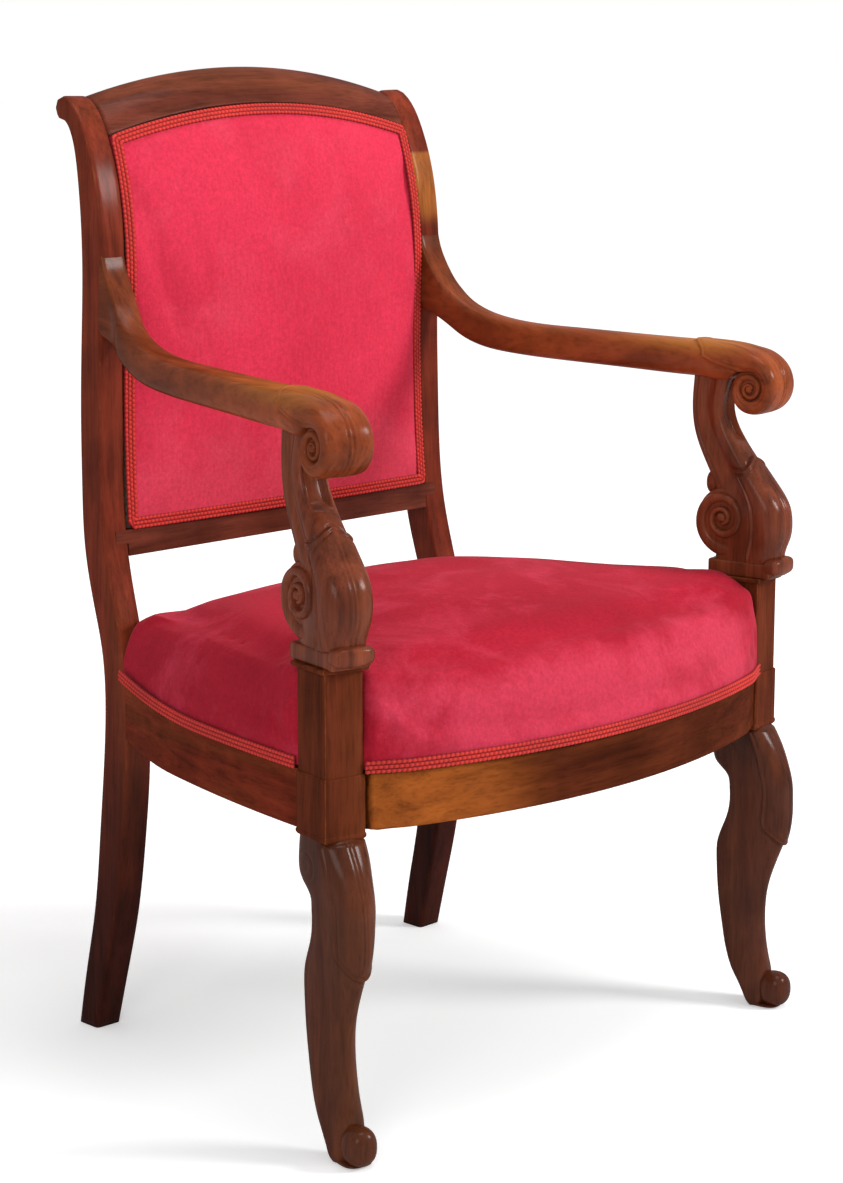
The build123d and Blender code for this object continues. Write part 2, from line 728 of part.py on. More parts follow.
def clear_corners():
    # room for the posts and for the rear legs
    with Locations(post_spot(reach / 2 - post_rear - soft_gap, reach / 2 - post_width / 2 - soft_gap, 0)):
        Box(reach, reach, 4 * reach, mode=Mode.SUBTRACT)
    with Locations(post_spot(reach / 2 - post_rear - plate_overhang - soft_gap,
                             reach / 2 - post_width / 2 - plate_overhang - soft_gap, post_top + reach / 2 - 1)):
        Box(reach, reach, reach, mode=Mode.SUBTRACT)
    with Locations((upright_inner(seat_crown) - soft_gap + reach / 2, leg_face_y - 1 + reach / 2, 0)):
        Box(reach, reach, 4 * reach, mode=Mode.SUBTRACT)


below_cover = side_strip(rail_thickness, -2 * rail_thickness, rail_thickness, side_rise, rise_start,
                         gimp_line + soft_gap, side_rise, rise_start)
below_stuffing = side_strip(rail_thickness, -rail_thickness - soft_gap, rail_thickness, side_rise, rise_start,
                            rebate_top + soft_gap, side_rise, rise_start)
braid_line = gimp_line + braid_height
seat_outer = seat_pad(0, gimp_line + soft_gap)
seat_inner = seat_pad(cover_thickness, gimp_line - 1)
seat_core = seat_pad(cover_thickness + soft_gap, gimp_line - 1)
hood_outer = canvas_hood(0)
hood_inner = canvas_hood(canvas_thickness)
hood_room = canvas_hood(-soft_gap)

with BuildPart() as spring_canvas:
    add(hood_outer)
    add(hood_inner, mode=Mode.SUBTRACT)
    clear_corners()
    split(bisect_by=Plane.YZ, keep=Keep.TOP)
    add(side_seat_rail.part, mode=Mode.SUBTRACT)
    mirror(about=Plane.YZ)
with BuildPart() as seat_cover:
    add(seat_outer)
    add(seat_inner, mode=Mode.SUBTRACT)
    clear_corners()
    split(bisect_by=Plane.YZ, keep=Keep.TOP)
    add(below_cover, mode=Mode.SUBTRACT)
    mirror(about=Plane.YZ)
with BuildPart() as seat_stuffing:
    add(seat_core)
    with Locations((0, 0, rebate_top + soft_gap)):
        Box(2 * reach, 2 * reach, reach, align=(Align.CENTER, Align.CENTER, Align.MAX), mode=Mode.SUBTRACT)
    add(hood_room, mode=Mode.SUBTRACT)
    clear_corners()
    split(bisect_by=Plane.YZ, keep=Keep.TOP)
    add(below_stuffing, mode=Mode.SUBTRACT)
    mirror(about=Plane.YZ)
for name, piece in (("spring_canvas", spring_canvas), ("seat_cover", seat_cover), ("seat_stuffing", seat_stuffing)):
    write(piece.part, name)


# Braid along the lower edge of the seat cover
braid_inner = 2.0 + soft_gap
braid_outer = braid_inner + braid_thickness
with BuildPart() as seat_braid_front:
    with BuildSketch(Plane.XY.offset(gimp_line + soft_gap)):
        with BuildLine():
            front_band(braid_outer, braid_inner)
        make_face()
    extrude(amount=braid_height)
    with Locations(post_spot(0, reach / 2 - post_width / 2 - soft_gap, 0)):
        Box(reach, reach, 4 * reach, mode=Mode.SUBTRACT)
    split(bisect_by=Plane.YZ, keep=Keep.TOP)
    mirror(about=Plane.YZ)
write(seat_braid_front.part, "seat_braid_front")

braid_strip = side_strip(braid_outer, braid_inner, gimp_line + soft_gap, side_rise, rise_start,
                         braid_line, side_rise, rise_start, seat_bulge / 2)
with BuildPart() as seat_braid_side:
    add(braid_strip)
    with Locations(post_spot(reach / 2 - post_rear - soft_gap, 0, 0)):
        Box(reach, reach, 4 * reach, mode=Mode.SUBTRACT)
    with Locations((0, leg_face_y - 1 + reach / 2, 0)):
        Box(2 * reach, reach, 4 * reach, mode=Mode.SUBTRACT)
write_pair(seat_braid_side, "seat_braid")

with BuildPart() as seat_braid_rear:
    with BuildSketch(Plane.YZ):
        with Locations((rear_corner_y + braid_inner, gimp_line + soft_gap)):
            Rectangle(braid_thickness, braid_height, align=(Align.MIN, Align.MIN))
    extrude(amount=upright_inner(gimp_line) - 1, both=True)
write(seat_braid_rear.part, "seat_braid_rear")


# Back upholstery: layers between two depths behind the front face, each swelling in the middle
back_stations = (-back_half, -back_half / 2, 0, back_half / 2, back_half)
back_waist = 720.0       # where the lower and upper curves of the back meet


def back_curve(depth, swell, bottom, top, x):
    out = swell * (1 - (x / back_half) ** 2)
    edge = 0.25 * out
    lower = ThreePointArc((lower_face(panel_bottom) + depth - edge, bottom),
                          (upright_front + 1 + depth - out, 600),
                          (upright_front - 1.5 + depth - out, back_waist))
    upper = ThreePointArc(lower @ 1, (upright_front + 3 + depth - out, 803), (217.5 + depth - edge, top))
    return lower, upper


def back_layer(near, far, near_swell, far_swell):
    with BuildPart() as layer:
        for x in back_stations:
            bottom = panel_bottom + soft_gap
            top = panel_side_top - soft_gap + arch(x)
            with BuildSketch(Plane.YZ.offset(x)):
                with BuildLine():
                    front_low, front_high = back_curve(near, near_swell, bottom, top, x)
                    rear_low, rear_high = back_curve(far, far_swell, bottom, top, x)
                    Line(front_low @ 0, rear_low @ 0)
                    Line(front_high @ 1, rear_high @ 1)
                make_face()
        loft()
    return layer.part


def trim_to_uprights(play):
    # leave out what lies past the inner faces of the uprights, on the right-hand half
    with Locations(leg_plane.offset(-leg_width - play)):
        Box(2 * reach, 6 * reach, 2 * leg_width, align=(Align.CENTER, Align.CENTER, Align.MIN), mode=Mode.SUBTRACT)


back_pieces = (
    ("back_cover", back_layer(0, cover_thickness, back_bulge, back_bulge)),
    ("back_stuffing", back_layer(cover_thickness + soft_gap, back_pad, back_bulge, 0)),
    ("back_canvas", back_layer(canvas_front, canvas_front + canvas_thickness, 0, 0)),
    ("outside_back_cover", back_layer(outside_depth, outside_depth + canvas_thickness, 0, 0)),
)
for name, layer in back_pieces:
    with BuildPart() as back_piece:
        add(layer)
        split(bisect_by=Plane.YZ, keep=Keep.TOP)
        trim_to_uprights(soft_gap)
        mirror(about=Plane.YZ)
    write(back_piece.part, name)

# Braid frames on the front and on the outside of the back
back_braids = (
    ("back_braid", back_layer(-soft_gap - braid_thickness, -soft_gap, back_bulge, back_bulge)),
    ("outside_back_braid", back_layer(outside_depth + canvas_thickness + soft_gap,
                                      outside_depth + canvas_thickness + soft_gap + braid_thickness, 0, 0)),
)
for name, layer in back_braids:
    with BuildPart() as back_braid:
        add(layer)
        split(bisect_by=Plane.YZ, keep=Keep.TOP)
        trim_to_uprights(soft_gap)
        with BuildSketch(Plane.XZ):
            with BuildLine():
                low = panel_bottom + braid_height
                high = panel_side_top - braid_height
                low_x = upright_inner(low) - braid_height
                high_x = upright_inner(high) - braid_height
                base = Line((0, low), (low_x, low))
                stile = Line(base @ 1, (high_x, high + arch(high_x)))
                ThreePointArc(stile @ 1, (high_x / 2, high + arch(high_x / 2)), (0, high + crest_arch))
                Line((0, high + crest_arch), base @ 0)
            make_face()
        extrude(amount=-reach, mode=Mode.SUBTRACT)
        mirror(about=Plane.YZ)
    write(back_braid.part, name)

# Webbing behind the back canvas
upright_web = back_layer(web_front, web_front + back_web_thickness, 0, 0)
cross_web = back_layer(cross_front, cross_front + back_web_thickness, 0, 0)
with BuildPart() as back_webbing_upright:
    for x in (-110.0, 0.0, 110.0):
        with Locations((x, upright_front, back_waist)):
            Box(webbing_width, reach, 2 * reach)
    add(upright_web, mode=Mode.INTERSECT)
write(back_webbing_upright.part, "back_webbing_upright")
with BuildPart() as back_webbing_cross:
    for z in (590.0, 690.0, 790.0):
        with Locations((0, upright_front, z)):
            Box(2 * (upright_inner(z + webbing_width) - soft_gap), reach, webbing_width)
    add(cross_web, mode=Mode.INTERSECT)
write(back_webbing_cross.part, "back_webbing_cross")
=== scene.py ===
from math import atan2, cos, pi, radians, sin

import bmesh
import bpy
import numpy as np
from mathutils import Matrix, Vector


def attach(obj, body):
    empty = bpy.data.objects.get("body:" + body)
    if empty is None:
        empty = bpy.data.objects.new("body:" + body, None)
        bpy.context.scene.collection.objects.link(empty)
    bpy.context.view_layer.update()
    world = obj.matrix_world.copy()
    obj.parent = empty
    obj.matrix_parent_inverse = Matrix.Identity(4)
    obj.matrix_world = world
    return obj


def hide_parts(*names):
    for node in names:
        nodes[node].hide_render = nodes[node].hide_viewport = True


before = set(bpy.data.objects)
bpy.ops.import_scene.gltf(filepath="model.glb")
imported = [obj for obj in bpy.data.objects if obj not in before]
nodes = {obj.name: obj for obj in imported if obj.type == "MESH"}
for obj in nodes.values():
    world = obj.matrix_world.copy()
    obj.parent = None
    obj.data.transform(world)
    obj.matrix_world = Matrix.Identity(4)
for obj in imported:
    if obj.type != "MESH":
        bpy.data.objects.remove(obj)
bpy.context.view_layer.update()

mm = 0.001
print("frame loaded:", len(nodes), "nodes")


# places shared with the frame, in millimetres until the mesh is written

chair = {
    "postX": 281.7, "postY": -180.0,          # middle of the front post
    "legFootX": 239.1, "lean": radians(1.14), "legWidth": 29.0,
    "uprightFront": 197.0, "armJoint": 688.0,
    "gimpLine": 345.0, "braidHeight": 11.0,
    "crestArch": 26.0, "crestEnd": 190.0,
}
armTarget = chair["legFootX"] - chair["armJoint"] * sin(chair["lean"]) - chair["legWidth"] / 2
turn = atan2(chair["postX"] - armTarget, chair["uprightFront"] - chair["postY"])


def armSpace(u, v, z):
    # u forwards from the post, v outwards, z up, on the right-hand side
    x = chair["postX"] + u * sin(turn) + v * cos(turn)
    y = chair["postY"] - u * cos(turn) + v * sin(turn)
    return np.stack(np.broadcast_arrays(x, y, z), axis=-1)


def legSpace(y, v, h):
    # y backwards, v outwards from the middle of the upright, h up along its lean
    lean = chair["lean"]
    out = v - chair["legWidth"] / 2
    x = chair["legFootX"] - h * sin(lean) + out * cos(lean)
    z = h * cos(lean) + out * sin(lean)
    return np.stack(np.broadcast_arrays(x, y, z), axis=-1)


def uprightInner(z):
    return chair["legFootX"] - z * sin(chair["lean"]) - chair["legWidth"]


def crestRise(x):
    return chair["crestArch"] * (1 - (x / chair["crestEnd"]) ** 2)


# mesh helpers

def smoothStep(low, high, value):
    t = np.clip((value - low) / (high - low), 0, 1)
    return t * t * (3 - 2 * t)


def bump(value, width):
    return np.exp(-(value / width) ** 2)


def curve(rows, shares):
    # natural cubic spline through the rows, read at these shares of its chord length
    rows = np.asarray(rows, float)
    steps = np.maximum(np.linalg.norm(np.diff(rows[:, :4], axis=0), axis=1), 1e-6)
    knots = np.concatenate(([0.0], np.cumsum(steps)))
    n = len(rows)
    system = np.eye(n)
    right = np.zeros_like(rows)
    inner = np.arange(1, n - 1)
    system[inner, inner - 1] = steps[:-1]
    system[inner, inner] = 2 * (steps[:-1] + steps[1:])
    system[inner, inner + 1] = steps[1:]
    slopes = np.diff(rows, axis=0) / steps[:, None]
    right[1:-1] = 6 * np.diff(slopes, axis=0)
    second = np.linalg.solve(system, right)
    s = np.asarray(shares) * knots[-1]
    k = np.clip(np.searchsorted(knots, s, side="right") - 1, 0, n - 2)
    h = steps[k][:, None]
    a = (knots[k + 1] - s)[:, None]
    b = (s - knots[k])[:, None]
    return ((second[k] * a ** 3 + second[k + 1] * b ** 3) / (6 * h)
            + (rows[k] / h - second[k] * h / 6) * a + (rows[k + 1] / h - second[k + 1] * h / 6) * b)


def even(count):
    return np.linspace(0, 1, count)


def unit(vectors):
    return vectors / np.maximum(np.linalg.norm(vectors, axis=-1, keepdims=True), 1e-9)


def lengthAlong(points):
    return np.concatenate(([0], np.cumsum(np.linalg.norm(np.diff(points, axis=0), axis=1))))


def ridges(value, rows):
    # raised and sunk lines, each with its height, place and width
    return sum(height * bump(value - at, width) for height, at, width in rows)


def circleCentre(a, b, c):
    # centre of the circle through three points of a plane
    (ax, ay), (bx, by), (cx, cy) = (np.moveaxis(p, -1, 0) for p in (a, b, c))
    sa, sb, sc = ((p ** 2).sum(-1) for p in (a, b, c))
    d = 2 * (ax * (by - cy) + bx * (cy - ay) + cx * (ay - by))
    return np.stack((sa * (by - cy) + sb * (cy - ay) + sc * (ay - by),
                     sa * (cx - bx) + sb * (ax - cx) + sc * (bx - ax)), -1) / d[..., None]


def addObject(name, data):
    made = bpy.data.objects.new(name, data)
    bpy.context.scene.collection.objects.link(made)
    return made


def gridNormals(points):
    # for a grid whose rows close on themselves
    du = np.gradient(points, axis=0)
    dv = np.roll(points, -1, axis=1) - np.roll(points, 1, axis=1)
    return unit(np.cross(du, dv))


def gridMesh(name, points, closeU=False, closeV=True, capStart=False, capEnd=False, wearAndLoopShading=None):
    # quads between neighbouring grid points, fans over the open ends; points in millimetres
    nu, nv = points.shape[:2]
    rows, columns = np.arange(nu if closeU else nu - 1), np.arange(nv if closeV else nv - 1)
    i, j = np.meshgrid(rows, columns, indexing="ij")
    i2, j2 = (i + 1) % nu, (j + 1) % nv
    faces = np.stack((i * nv + j, i2 * nv + j, i2 * nv + j2, i * nv + j2), axis=-1).reshape(-1, 4).tolist()
    verts = [points.reshape(-1, 3)]
    ring = np.arange(nv)
    for wanted, row in ((capStart, 0), (capEnd, nu - 1)):
        if wanted:
            middle = sum(len(block) for block in verts)
            verts.append(points[row].mean(axis=0)[None])
            edge = row * nv + ring
            faces += np.stack((edge, np.roll(edge, -1), np.full(nv, middle)), axis=-1).tolist()
    mesh = bpy.data.meshes.new(name)
    co = np.concatenate(verts) * mm
    mesh.from_pydata(co.tolist(), [], faces)
    # the attribute holds rubbed wear on the frame, and on the braid the loop height for its painted shade and
    # painted highlight
    if wearAndLoopShading is not None:
        layer = mesh.attributes.new("wearAndLoopShading", "FLOAT", "POINT")
        values = np.zeros(len(co), np.float32)
        values[:wearAndLoopShading.size] = wearAndLoopShading.reshape(-1)
        layer.data.foreach_set("value", values)
    bm = bmesh.new()
    bm.from_mesh(mesh)
    bmesh.ops.remove_doubles(bm, verts=bm.verts, dist=1e-6)
    bmesh.ops.recalc_face_normals(bm, faces=bm.faces)
    bm.to_mesh(mesh)
    bm.free()
    mesh.polygons.foreach_set("use_smooth", np.ones(len(mesh.polygons), bool))
    return addObject(name, mesh)


def dress(piece, material, slot, *replaced):
    piece.data.materials.append(material)
    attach(piece, "root")
    if replaced:
        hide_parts(*replaced)


def sectionRing(around, frontPower, rearPower, depth):
    # |p|^n + |q|^n = 1, with n going from the rear power to the front one and the points evenly spaced on a
    # section that is depth times as deep as it is wide; the third row is high on the rounded arrises
    angle = np.linspace(0, 2 * pi, 3601)
    power = rearPower + (frontPower - rearPower) * (np.cos(angle) + 1) / 2
    p = np.sign(np.cos(angle)) * np.abs(np.cos(angle)) ** (2 / power)
    q = np.sign(np.sin(angle)) * np.abs(np.sin(angle)) ** (2 / power)
    arris = bump(np.cos(angle) ** 2 - 0.5, 0.3) * np.clip((power - 2.5) / 4, 0, 1)
    length = np.concatenate(([0], np.cumsum(np.hypot(np.diff(p) * depth, np.diff(q)))))
    spaced = np.linspace(0, length[-1], around, endpoint=False)
    return tuple(np.interp(spaced, length, row)[None] for row in (p, q, arris))


def limb(table, place, ring, relief=None):
    # A sawn and rounded stick: each row holds the front edge, the rear edge and the half widths at both,
    # and the ring is stretched between them, p from the rear to the front edge and q across.
    # A single half width stands for both.
    frontU, frontZ, rearU, rearZ, frontHalf, rearHalf = (table[:, [k]] for k in (0, 1, 2, 3, 4, -1))
    p, q, arris = ring
    share = (p + 1) / 2
    u = rearU + (frontU - rearU) * share
    z = rearZ + (frontZ - rearZ) * share
    v = q * (rearHalf + (frontHalf - rearHalf) * share)
    points = place(u, v, z)
    if relief is not None:
        normal = gridNormals(points)
        outward = points - points.mean(axis=1, keepdims=True)
        normal = normal * np.sign((normal * outward).sum())
        points = points + normal * relief(u, v, z, p, q)[..., None]
    return points, np.broadcast_to(arris, u.shape)


def sawn(piece, place, relief=None):
    table = curve(piece["rows"], even(piece["count"]))
    return limb(table, place, sectionRing(*piece["section"]), relief)


def spiral(eye, radii, first, last, step, gap, halves):
    # A band that rolls up clockwise: the outer edge runs at r(angle) round the eye, and the inner edge at
    # r(angle + one turn) plus a gap, so that each turn lies beside the next.
    # The radius table is rounded over 60 degrees, and the band stays at least leastBand thick.
    leastBand = 1.5
    degrees = np.arange(-120, 1500.0)
    kernel = np.hanning(61) / np.hanning(61).sum()
    smooth = np.convolve(np.interp(degrees, *zip(*radii)), kernel, "same")
    angle = np.arange(first, last, step)
    outer = np.interp(angle, degrees, smooth)
    inner = np.minimum(np.interp(angle + 360, degrees, smooth) + gap, outer - leastBand)
    half = np.interp(angle, *zip(*halves))
    right, up = np.sin(np.radians(angle)), np.cos(np.radians(angle))
    return np.stack((eye[0] + outer * right, eye[1] + outer * up, eye[0] + inner * right, eye[1] + inner * up,
                     half, half), -1)


def softMin(first, second, blend):
    # the smaller of two values, rounded where they cross
    return -blend * np.logaddexp(-first / blend, -second / blend)


def ballForm(centre, radii, power, across):
    # superellipsoid: a ring |u/a|^n + |z/c|^n = 1 that draws in along v with its own power
    around = np.linspace(0, 2 * pi, 64, endpoint=False)[None]
    tilt = np.linspace(-pi / 2, pi / 2, 41)[:, None]

    def bent(value, n):
        return np.sign(value) * np.abs(value) ** (2 / n)

    drawn = bent(np.cos(tilt), across)
    u = centre[0] + radii[0] * drawn * bent(np.cos(around), power)
    z = centre[1] + radii[2] * drawn * bent(np.sin(around), power)
    v = radii[1] * bent(np.sin(tilt), across) + 0 * around
    return armSpace(u, v, z), 0 * u


def roundedBox(lowU, highU, half, lowZ, highZ, soft):
    # a block with arrises rounded to the radius soft, as stacked rings that draw in at both ends
    steps = np.array([0, 0.12, 0.35, 0.65, 1.0]) * soft
    inset = soft - np.sqrt(np.maximum(soft ** 2 - (soft - steps) ** 2, 0))
    level = np.concatenate((lowZ + steps, highZ - steps[::-1]))[:, None]
    draw = np.concatenate((inset, inset[::-1]))[:, None]
    p, q, arris = sectionRing(96, 16, 16, 1.2)
    u = (lowU + highU) / 2 + p * ((highU - lowU) / 2 - draw)
    v = q * (half - draw)
    wearAndLoopShading = np.maximum(arris, np.where(draw > 0.1 * soft, 0.7, 0))
    return armSpace(u, v, level + 0 * p), np.broadcast_to(wearAndLoopShading, u.shape)


def addPair(name, shape, material, replaced=(), caps=True):
    # the right-hand piece and its mirror image
    points, wearAndLoopShading = shape
    for side, way in (("right", 1), ("left", -1)):
        piece = gridMesh(name + side.capitalize(), points * [way, 1, 1], capStart=caps, capEnd=caps, wearAndLoopShading=wearAndLoopShading)
        dress(piece, material, "show_wood", *(part + "_" + side for part in replaced))


def addBalls(balls, material):
    for name, form in balls.items():
        addPair(name, ballForm(*form), material, caps=False)


# shader groups

def newGroup(name, inputs, outputs):
    # inputs: each socket with its first value, a vector where there is none
    group = bpy.data.node_groups.new(name, "ShaderNodeTree")
    for socket, value in inputs.items():
        kind = {tuple: "Color", float: "Float"}.get(type(value), "Vector")
        item = group.interface.new_socket(socket, in_out="INPUT", socket_type="NodeSocket" + kind)
        if value is not None:
            item.default_value = value
    for socket in outputs:
        kind = "Color" if socket == "Color" else "Float"
        group.interface.new_socket(socket, in_out="OUTPUT", socket_type="NodeSocket" + kind)
    return group, group.nodes.new("NodeGroupInput").outputs, group.nodes.new("NodeGroupOutput").inputs


def node(tree, kind, **settings):
    made = tree.nodes.new(kind)
    for key, value in settings.items():
        if key in made.inputs:
            made.inputs[key].default_value = value
        else:
            setattr(made, key, value)
    return made


def ramp(tree, source, low, high):
    # low and high: position, and a grey value or a colour
    made = tree.nodes.new("ShaderNodeValToRGB")
    for element, (position, value) in zip(made.color_ramp.elements, (low, high)):
        element.position = position
        element.color = value if isinstance(value, tuple) else (value, value, value, 1)
    tree.links.new(source, made.inputs["Fac"])
    return made.outputs["Color"]


def mix(tree, factor, first, second, blend="MIX"):
    made = tree.nodes.new("ShaderNodeMix")
    made.data_type = "RGBA"
    made.blend_type = blend
    for socket, value in ((made.inputs[0], factor), (made.inputs[6], first), (made.inputs[7], second)):
        if isinstance(value, (int, float, tuple)):
            socket.default_value = value
        else:
            tree.links.new(value, socket)
    return made.outputs[2]


def calc(tree, operation, first, second):
    made = node(tree, "ShaderNodeMath", operation=operation)
    for socket, value in zip(made.inputs, (first, second)):
        if isinstance(value, (int, float)):
            socket.default_value = value
        else:
            tree.links.new(value, socket)
    return made.outputs[0]


def rescale(tree, source, low, high, toLow=0.0, toHigh=1.0, kind="LINEAR"):
    made = node(tree, "ShaderNodeMapRange", interpolation_type=kind)
    for socket, value in zip(("From Min", "From Max", "To Min", "To Max"), (low, high, toLow, toHigh)):
        made.inputs[socket].default_value = value
    tree.links.new(source, made.inputs["Value"])
    return made.outputs["Result"]


def noise(tree, vector, scale, detail, roughness=0.5, distortion=0.0):
    made = node(tree, "ShaderNodeTexNoise", Scale=scale, Detail=detail, Roughness=roughness, Distortion=distortion)
    tree.links.new(vector, made.inputs["Vector"])
    return made.outputs["Fac"]


def objectPlace(tree):
    return node(tree, "ShaderNodeTexCoord").outputs["Object"]


def stretched(tree, scale):
    made = node(tree, "ShaderNodeMapping")
    made.inputs["Scale"].default_value = scale
    tree.links.new(objectPlace(tree), made.inputs["Vector"])
    return made.outputs["Vector"]


def makeGrain():
    # streaks stretched along the grain, stains, broad figure, a faded patch, pores and rubbed edges
    group, source, result = newGroup("polishedGrain", {
        "Vector": None, "Dark": (0.02, 0.005, 0.002, 1), "Middle": (0.1, 0.03, 0.012, 1),
        "Light": (0.3, 0.11, 0.04, 1), "Wear": 0.5, "Figure": 0.35, "Faded": 0.0,
    }, ("Color", "Roughness", "Height"))
    place = objectPlace(group)
    streak = noise(group, source["Vector"], 62.0, 7.0, 0.62, 0.5)
    figure = noise(group, source["Vector"], 11.0, 4.0, 0.55, 1.0)
    pores = noise(group, source["Vector"], 420.0, 2.0)
    cloud = noise(group, place, 14.0, 5.0, 0.6)
    breakup = noise(group, place, 45.0, 5.0, 0.65)

    def lighten(colour, mask, amount):
        return mix(group, calc(group, "MULTIPLY", mask, source[amount]), colour, source["Light"])

    colour = mix(group, ramp(group, streak, (0.32, 0.3), (0.7, 1)), source["Dark"], source["Middle"])
    colour = mix(group, 1.0, colour, ramp(group, cloud, (0.36, 0.6), (0.6, 0.88)), "MULTIPLY")
    colour = lighten(colour, ramp(group, figure, (0.5, 0), (0.8, 1)), "Figure")
    colour = lighten(colour, ramp(group, streak, (0.25, 0.25), (0.62, 1)), "Faded")
    pore = ramp(group, pores, (0.3, 0.55), (0.5, 1))
    colour = mix(group, 0.5, colour, pore, "MULTIPLY")
    rubbed = node(group, "ShaderNodeAttribute", attribute_name="wearAndLoopShading").outputs["Fac"]
    edge = ramp(group, calc(group, "MULTIPLY", rubbed, breakup), (0.34, 0), (0.62, 1))
    group.links.new(lighten(colour, edge, "Wear"), result["Color"])
    group.links.new(rescale(group, breakup, 0.0, 1.0, 0.2, 0.42), result["Roughness"])
    group.links.new(calc(group, "ADD", streak, pore), result["Height"])
    return group


def makePile():
    # velvet: slow shading, brushed patches of nap that a painted sheen spreads on the given steps, faint upright
    # streaks and a fine pile
    group, source, result = newGroup("velvetPile", {
        "Deep": (0.12, 0.004, 0.012, 1), "Body": (0.3, 0.01, 0.025, 1), "BrushedAndSheen": (0.5, 0.09, 0.11, 1),
        "Patches": 0.6, "PaintedSheen": 0.0,
    }, ("Color", "Height"))
    # how far the painted sheen spreads the pale patches
    paintedSheenLift = 0.3
    place = objectPlace(group)
    slow = noise(group, place, 5.0, 3.0, 0.5, 0.4)
    patch = noise(group, place, 12.0, 6.0, 0.66, 0.5)
    pile = noise(group, place, 1300.0, 2.0)
    mottle = noise(group, place, 260.0, 4.0, 0.7)
    thread = noise(group, stretched(group, (1.0, 1.0, 0.12)), 380.0, 3.0, 0.6)
    colour = mix(group, ramp(group, slow, (0.3, 0), (0.62, 1)), source["Deep"], source["Body"])
    # the pale patches, spread further where the painted sheen lies
    napAndSheen = calc(group, "ADD", patch, calc(group, "MULTIPLY", source["PaintedSheen"], paintedSheenLift))
    brushedAndSheen = calc(group, "MULTIPLY", ramp(group, napAndSheen, (0.5, 0), (0.78, 1)), source["Patches"])
    colour = mix(group, brushedAndSheen, colour, source["BrushedAndSheen"])
    for share, pattern, low, high in ((0.45, thread, (0.3, 0.82), (0.7, 1.06)),
                                      (0.8, pile, (0.25, 0.8), (0.75, 1.08)),
                                      (0.7, mottle, (0.36, 0.84), (0.64, 1.12))):
        colour = mix(group, share, colour, ramp(group, pattern, low, high), "MULTIPLY")
    group.links.new(colour, result["Color"])
    group.links.new(calc(group, "ADD", pile, thread), result["Height"])
    return group


def makeWeave():
    # crossing threads as two wave patterns, with a little unevenness
    group, source, result = newGroup("coarseWeave", {"Base": (0.4, 0.33, 0.2, 1), "Thread": 300.0},
                                     ("Color", "Height"))
    place = objectPlace(group)
    waves = []
    for direction in ("X", "Y"):
        wave = node(group, "ShaderNodeTexWave", bands_direction=direction, Distortion=0.6, Detail=1.0)
        group.links.new(place, wave.inputs["Vector"])
        group.links.new(source["Thread"], wave.inputs["Scale"])
        waves.append(wave.outputs["Fac"])
    cross = calc(group, "MULTIPLY", *waves)
    stain = noise(group, place, 12.0, 4.0)
    colour = mix(group, 1.0, source["Base"], ramp(group, stain, (0.3, 0.72), (0.7, 1.0)), "MULTIPLY")
    colour = mix(group, 1.0, colour, ramp(group, cross, (0.0, 0.66), (0.5, 1.0)), "MULTIPLY")
    group.links.new(colour, result["Color"])
    group.links.new(cross, result["Height"])
    return group


grainGroup = makeGrain()
pileGroup = makePile()
weaveGroup = makeWeave()


def newMaterial(name):
    material = bpy.data.materials.new(name)
    material.use_nodes = True
    tree = material.node_tree
    return material, tree, tree.nodes["Principled BSDF"]


def addBump(tree, shader, height, strength, distance):
    made = node(tree, "ShaderNodeBump", Strength=strength, Distance=distance)
    tree.links.new(height, made.inputs["Height"])
    tree.links.new(made.outputs["Normal"], shader.inputs["Normal"])


def patchMask(tree, steps):
    # product of smooth steps (axis, low, high) in metres, from 0 at low to 1 at high
    mask = None
    for axis, low, high in steps:
        parts = node(tree, "ShaderNodeSeparateXYZ")
        tree.links.new(objectPlace(tree), parts.inputs[0])
        step = rescale(tree, parts.outputs[axis], low, high, kind="SMOOTHSTEP")
        mask = step if mask is None else calc(tree, "MULTIPLY", mask, step)
    return mask


def setInputs(made, values):
    for socket, value in values.items():
        made.inputs[socket].default_value = value


wood = {
    "dark": (0.036, 0.0072, 0.0034), "middle": (0.145, 0.031, 0.0115), "light": (0.38, 0.125, 0.026),
    "wearAndLoopShading": 0.55, "figure": 0.12, "coat": 0.1, "coatRoughness": 0.2, "bump": 0.1, "bumpDepth": 0.0005,
    # steps whose product is the faded patch, and those where a painted shade darkens the wood, multiplied by the
    # painted shade colour
    "faded": (), "shaded": (), "shade": (0.3, 0.32, 0.36),
}


def frameWood(name, stretch, **changes):
    look = {**wood, **changes}
    material, tree, shader = newMaterial(name)
    grain = node(tree, "ShaderNodeGroup", node_tree=grainGroup)
    setInputs(grain, {"Dark": (*look["dark"], 1), "Middle": (*look["middle"], 1), "Light": (*look["light"], 1),
                      "Wear": look["wearAndLoopShading"], "Figure": look["figure"]})
    tree.links.new(stretched(tree, stretch), grain.inputs["Vector"])
    if look["faded"]:
        tree.links.new(patchMask(tree, look["faded"]), grain.inputs["Faded"])
    colour = grain.outputs["Color"]
    # painted shade: on these steps the wood colour is multiplied by a darker colour
    if look["shaded"]:
        colour = mix(tree, patchMask(tree, look["shaded"]), colour, (*look["shade"], 1), "MULTIPLY")
    tree.links.new(colour, shader.inputs["Base Color"])
    tree.links.new(grain.outputs["Roughness"], shader.inputs["Roughness"])
    # the lamps shine in the coat alone
    setInputs(shader, {"Specular IOR Level": 0.0, "Coat Weight": look["coat"],
                       "Coat Roughness": look["coatRoughness"]})
    addBump(tree, shader, grain.outputs["Height"], look["bump"], look["bumpDepth"])
    return material


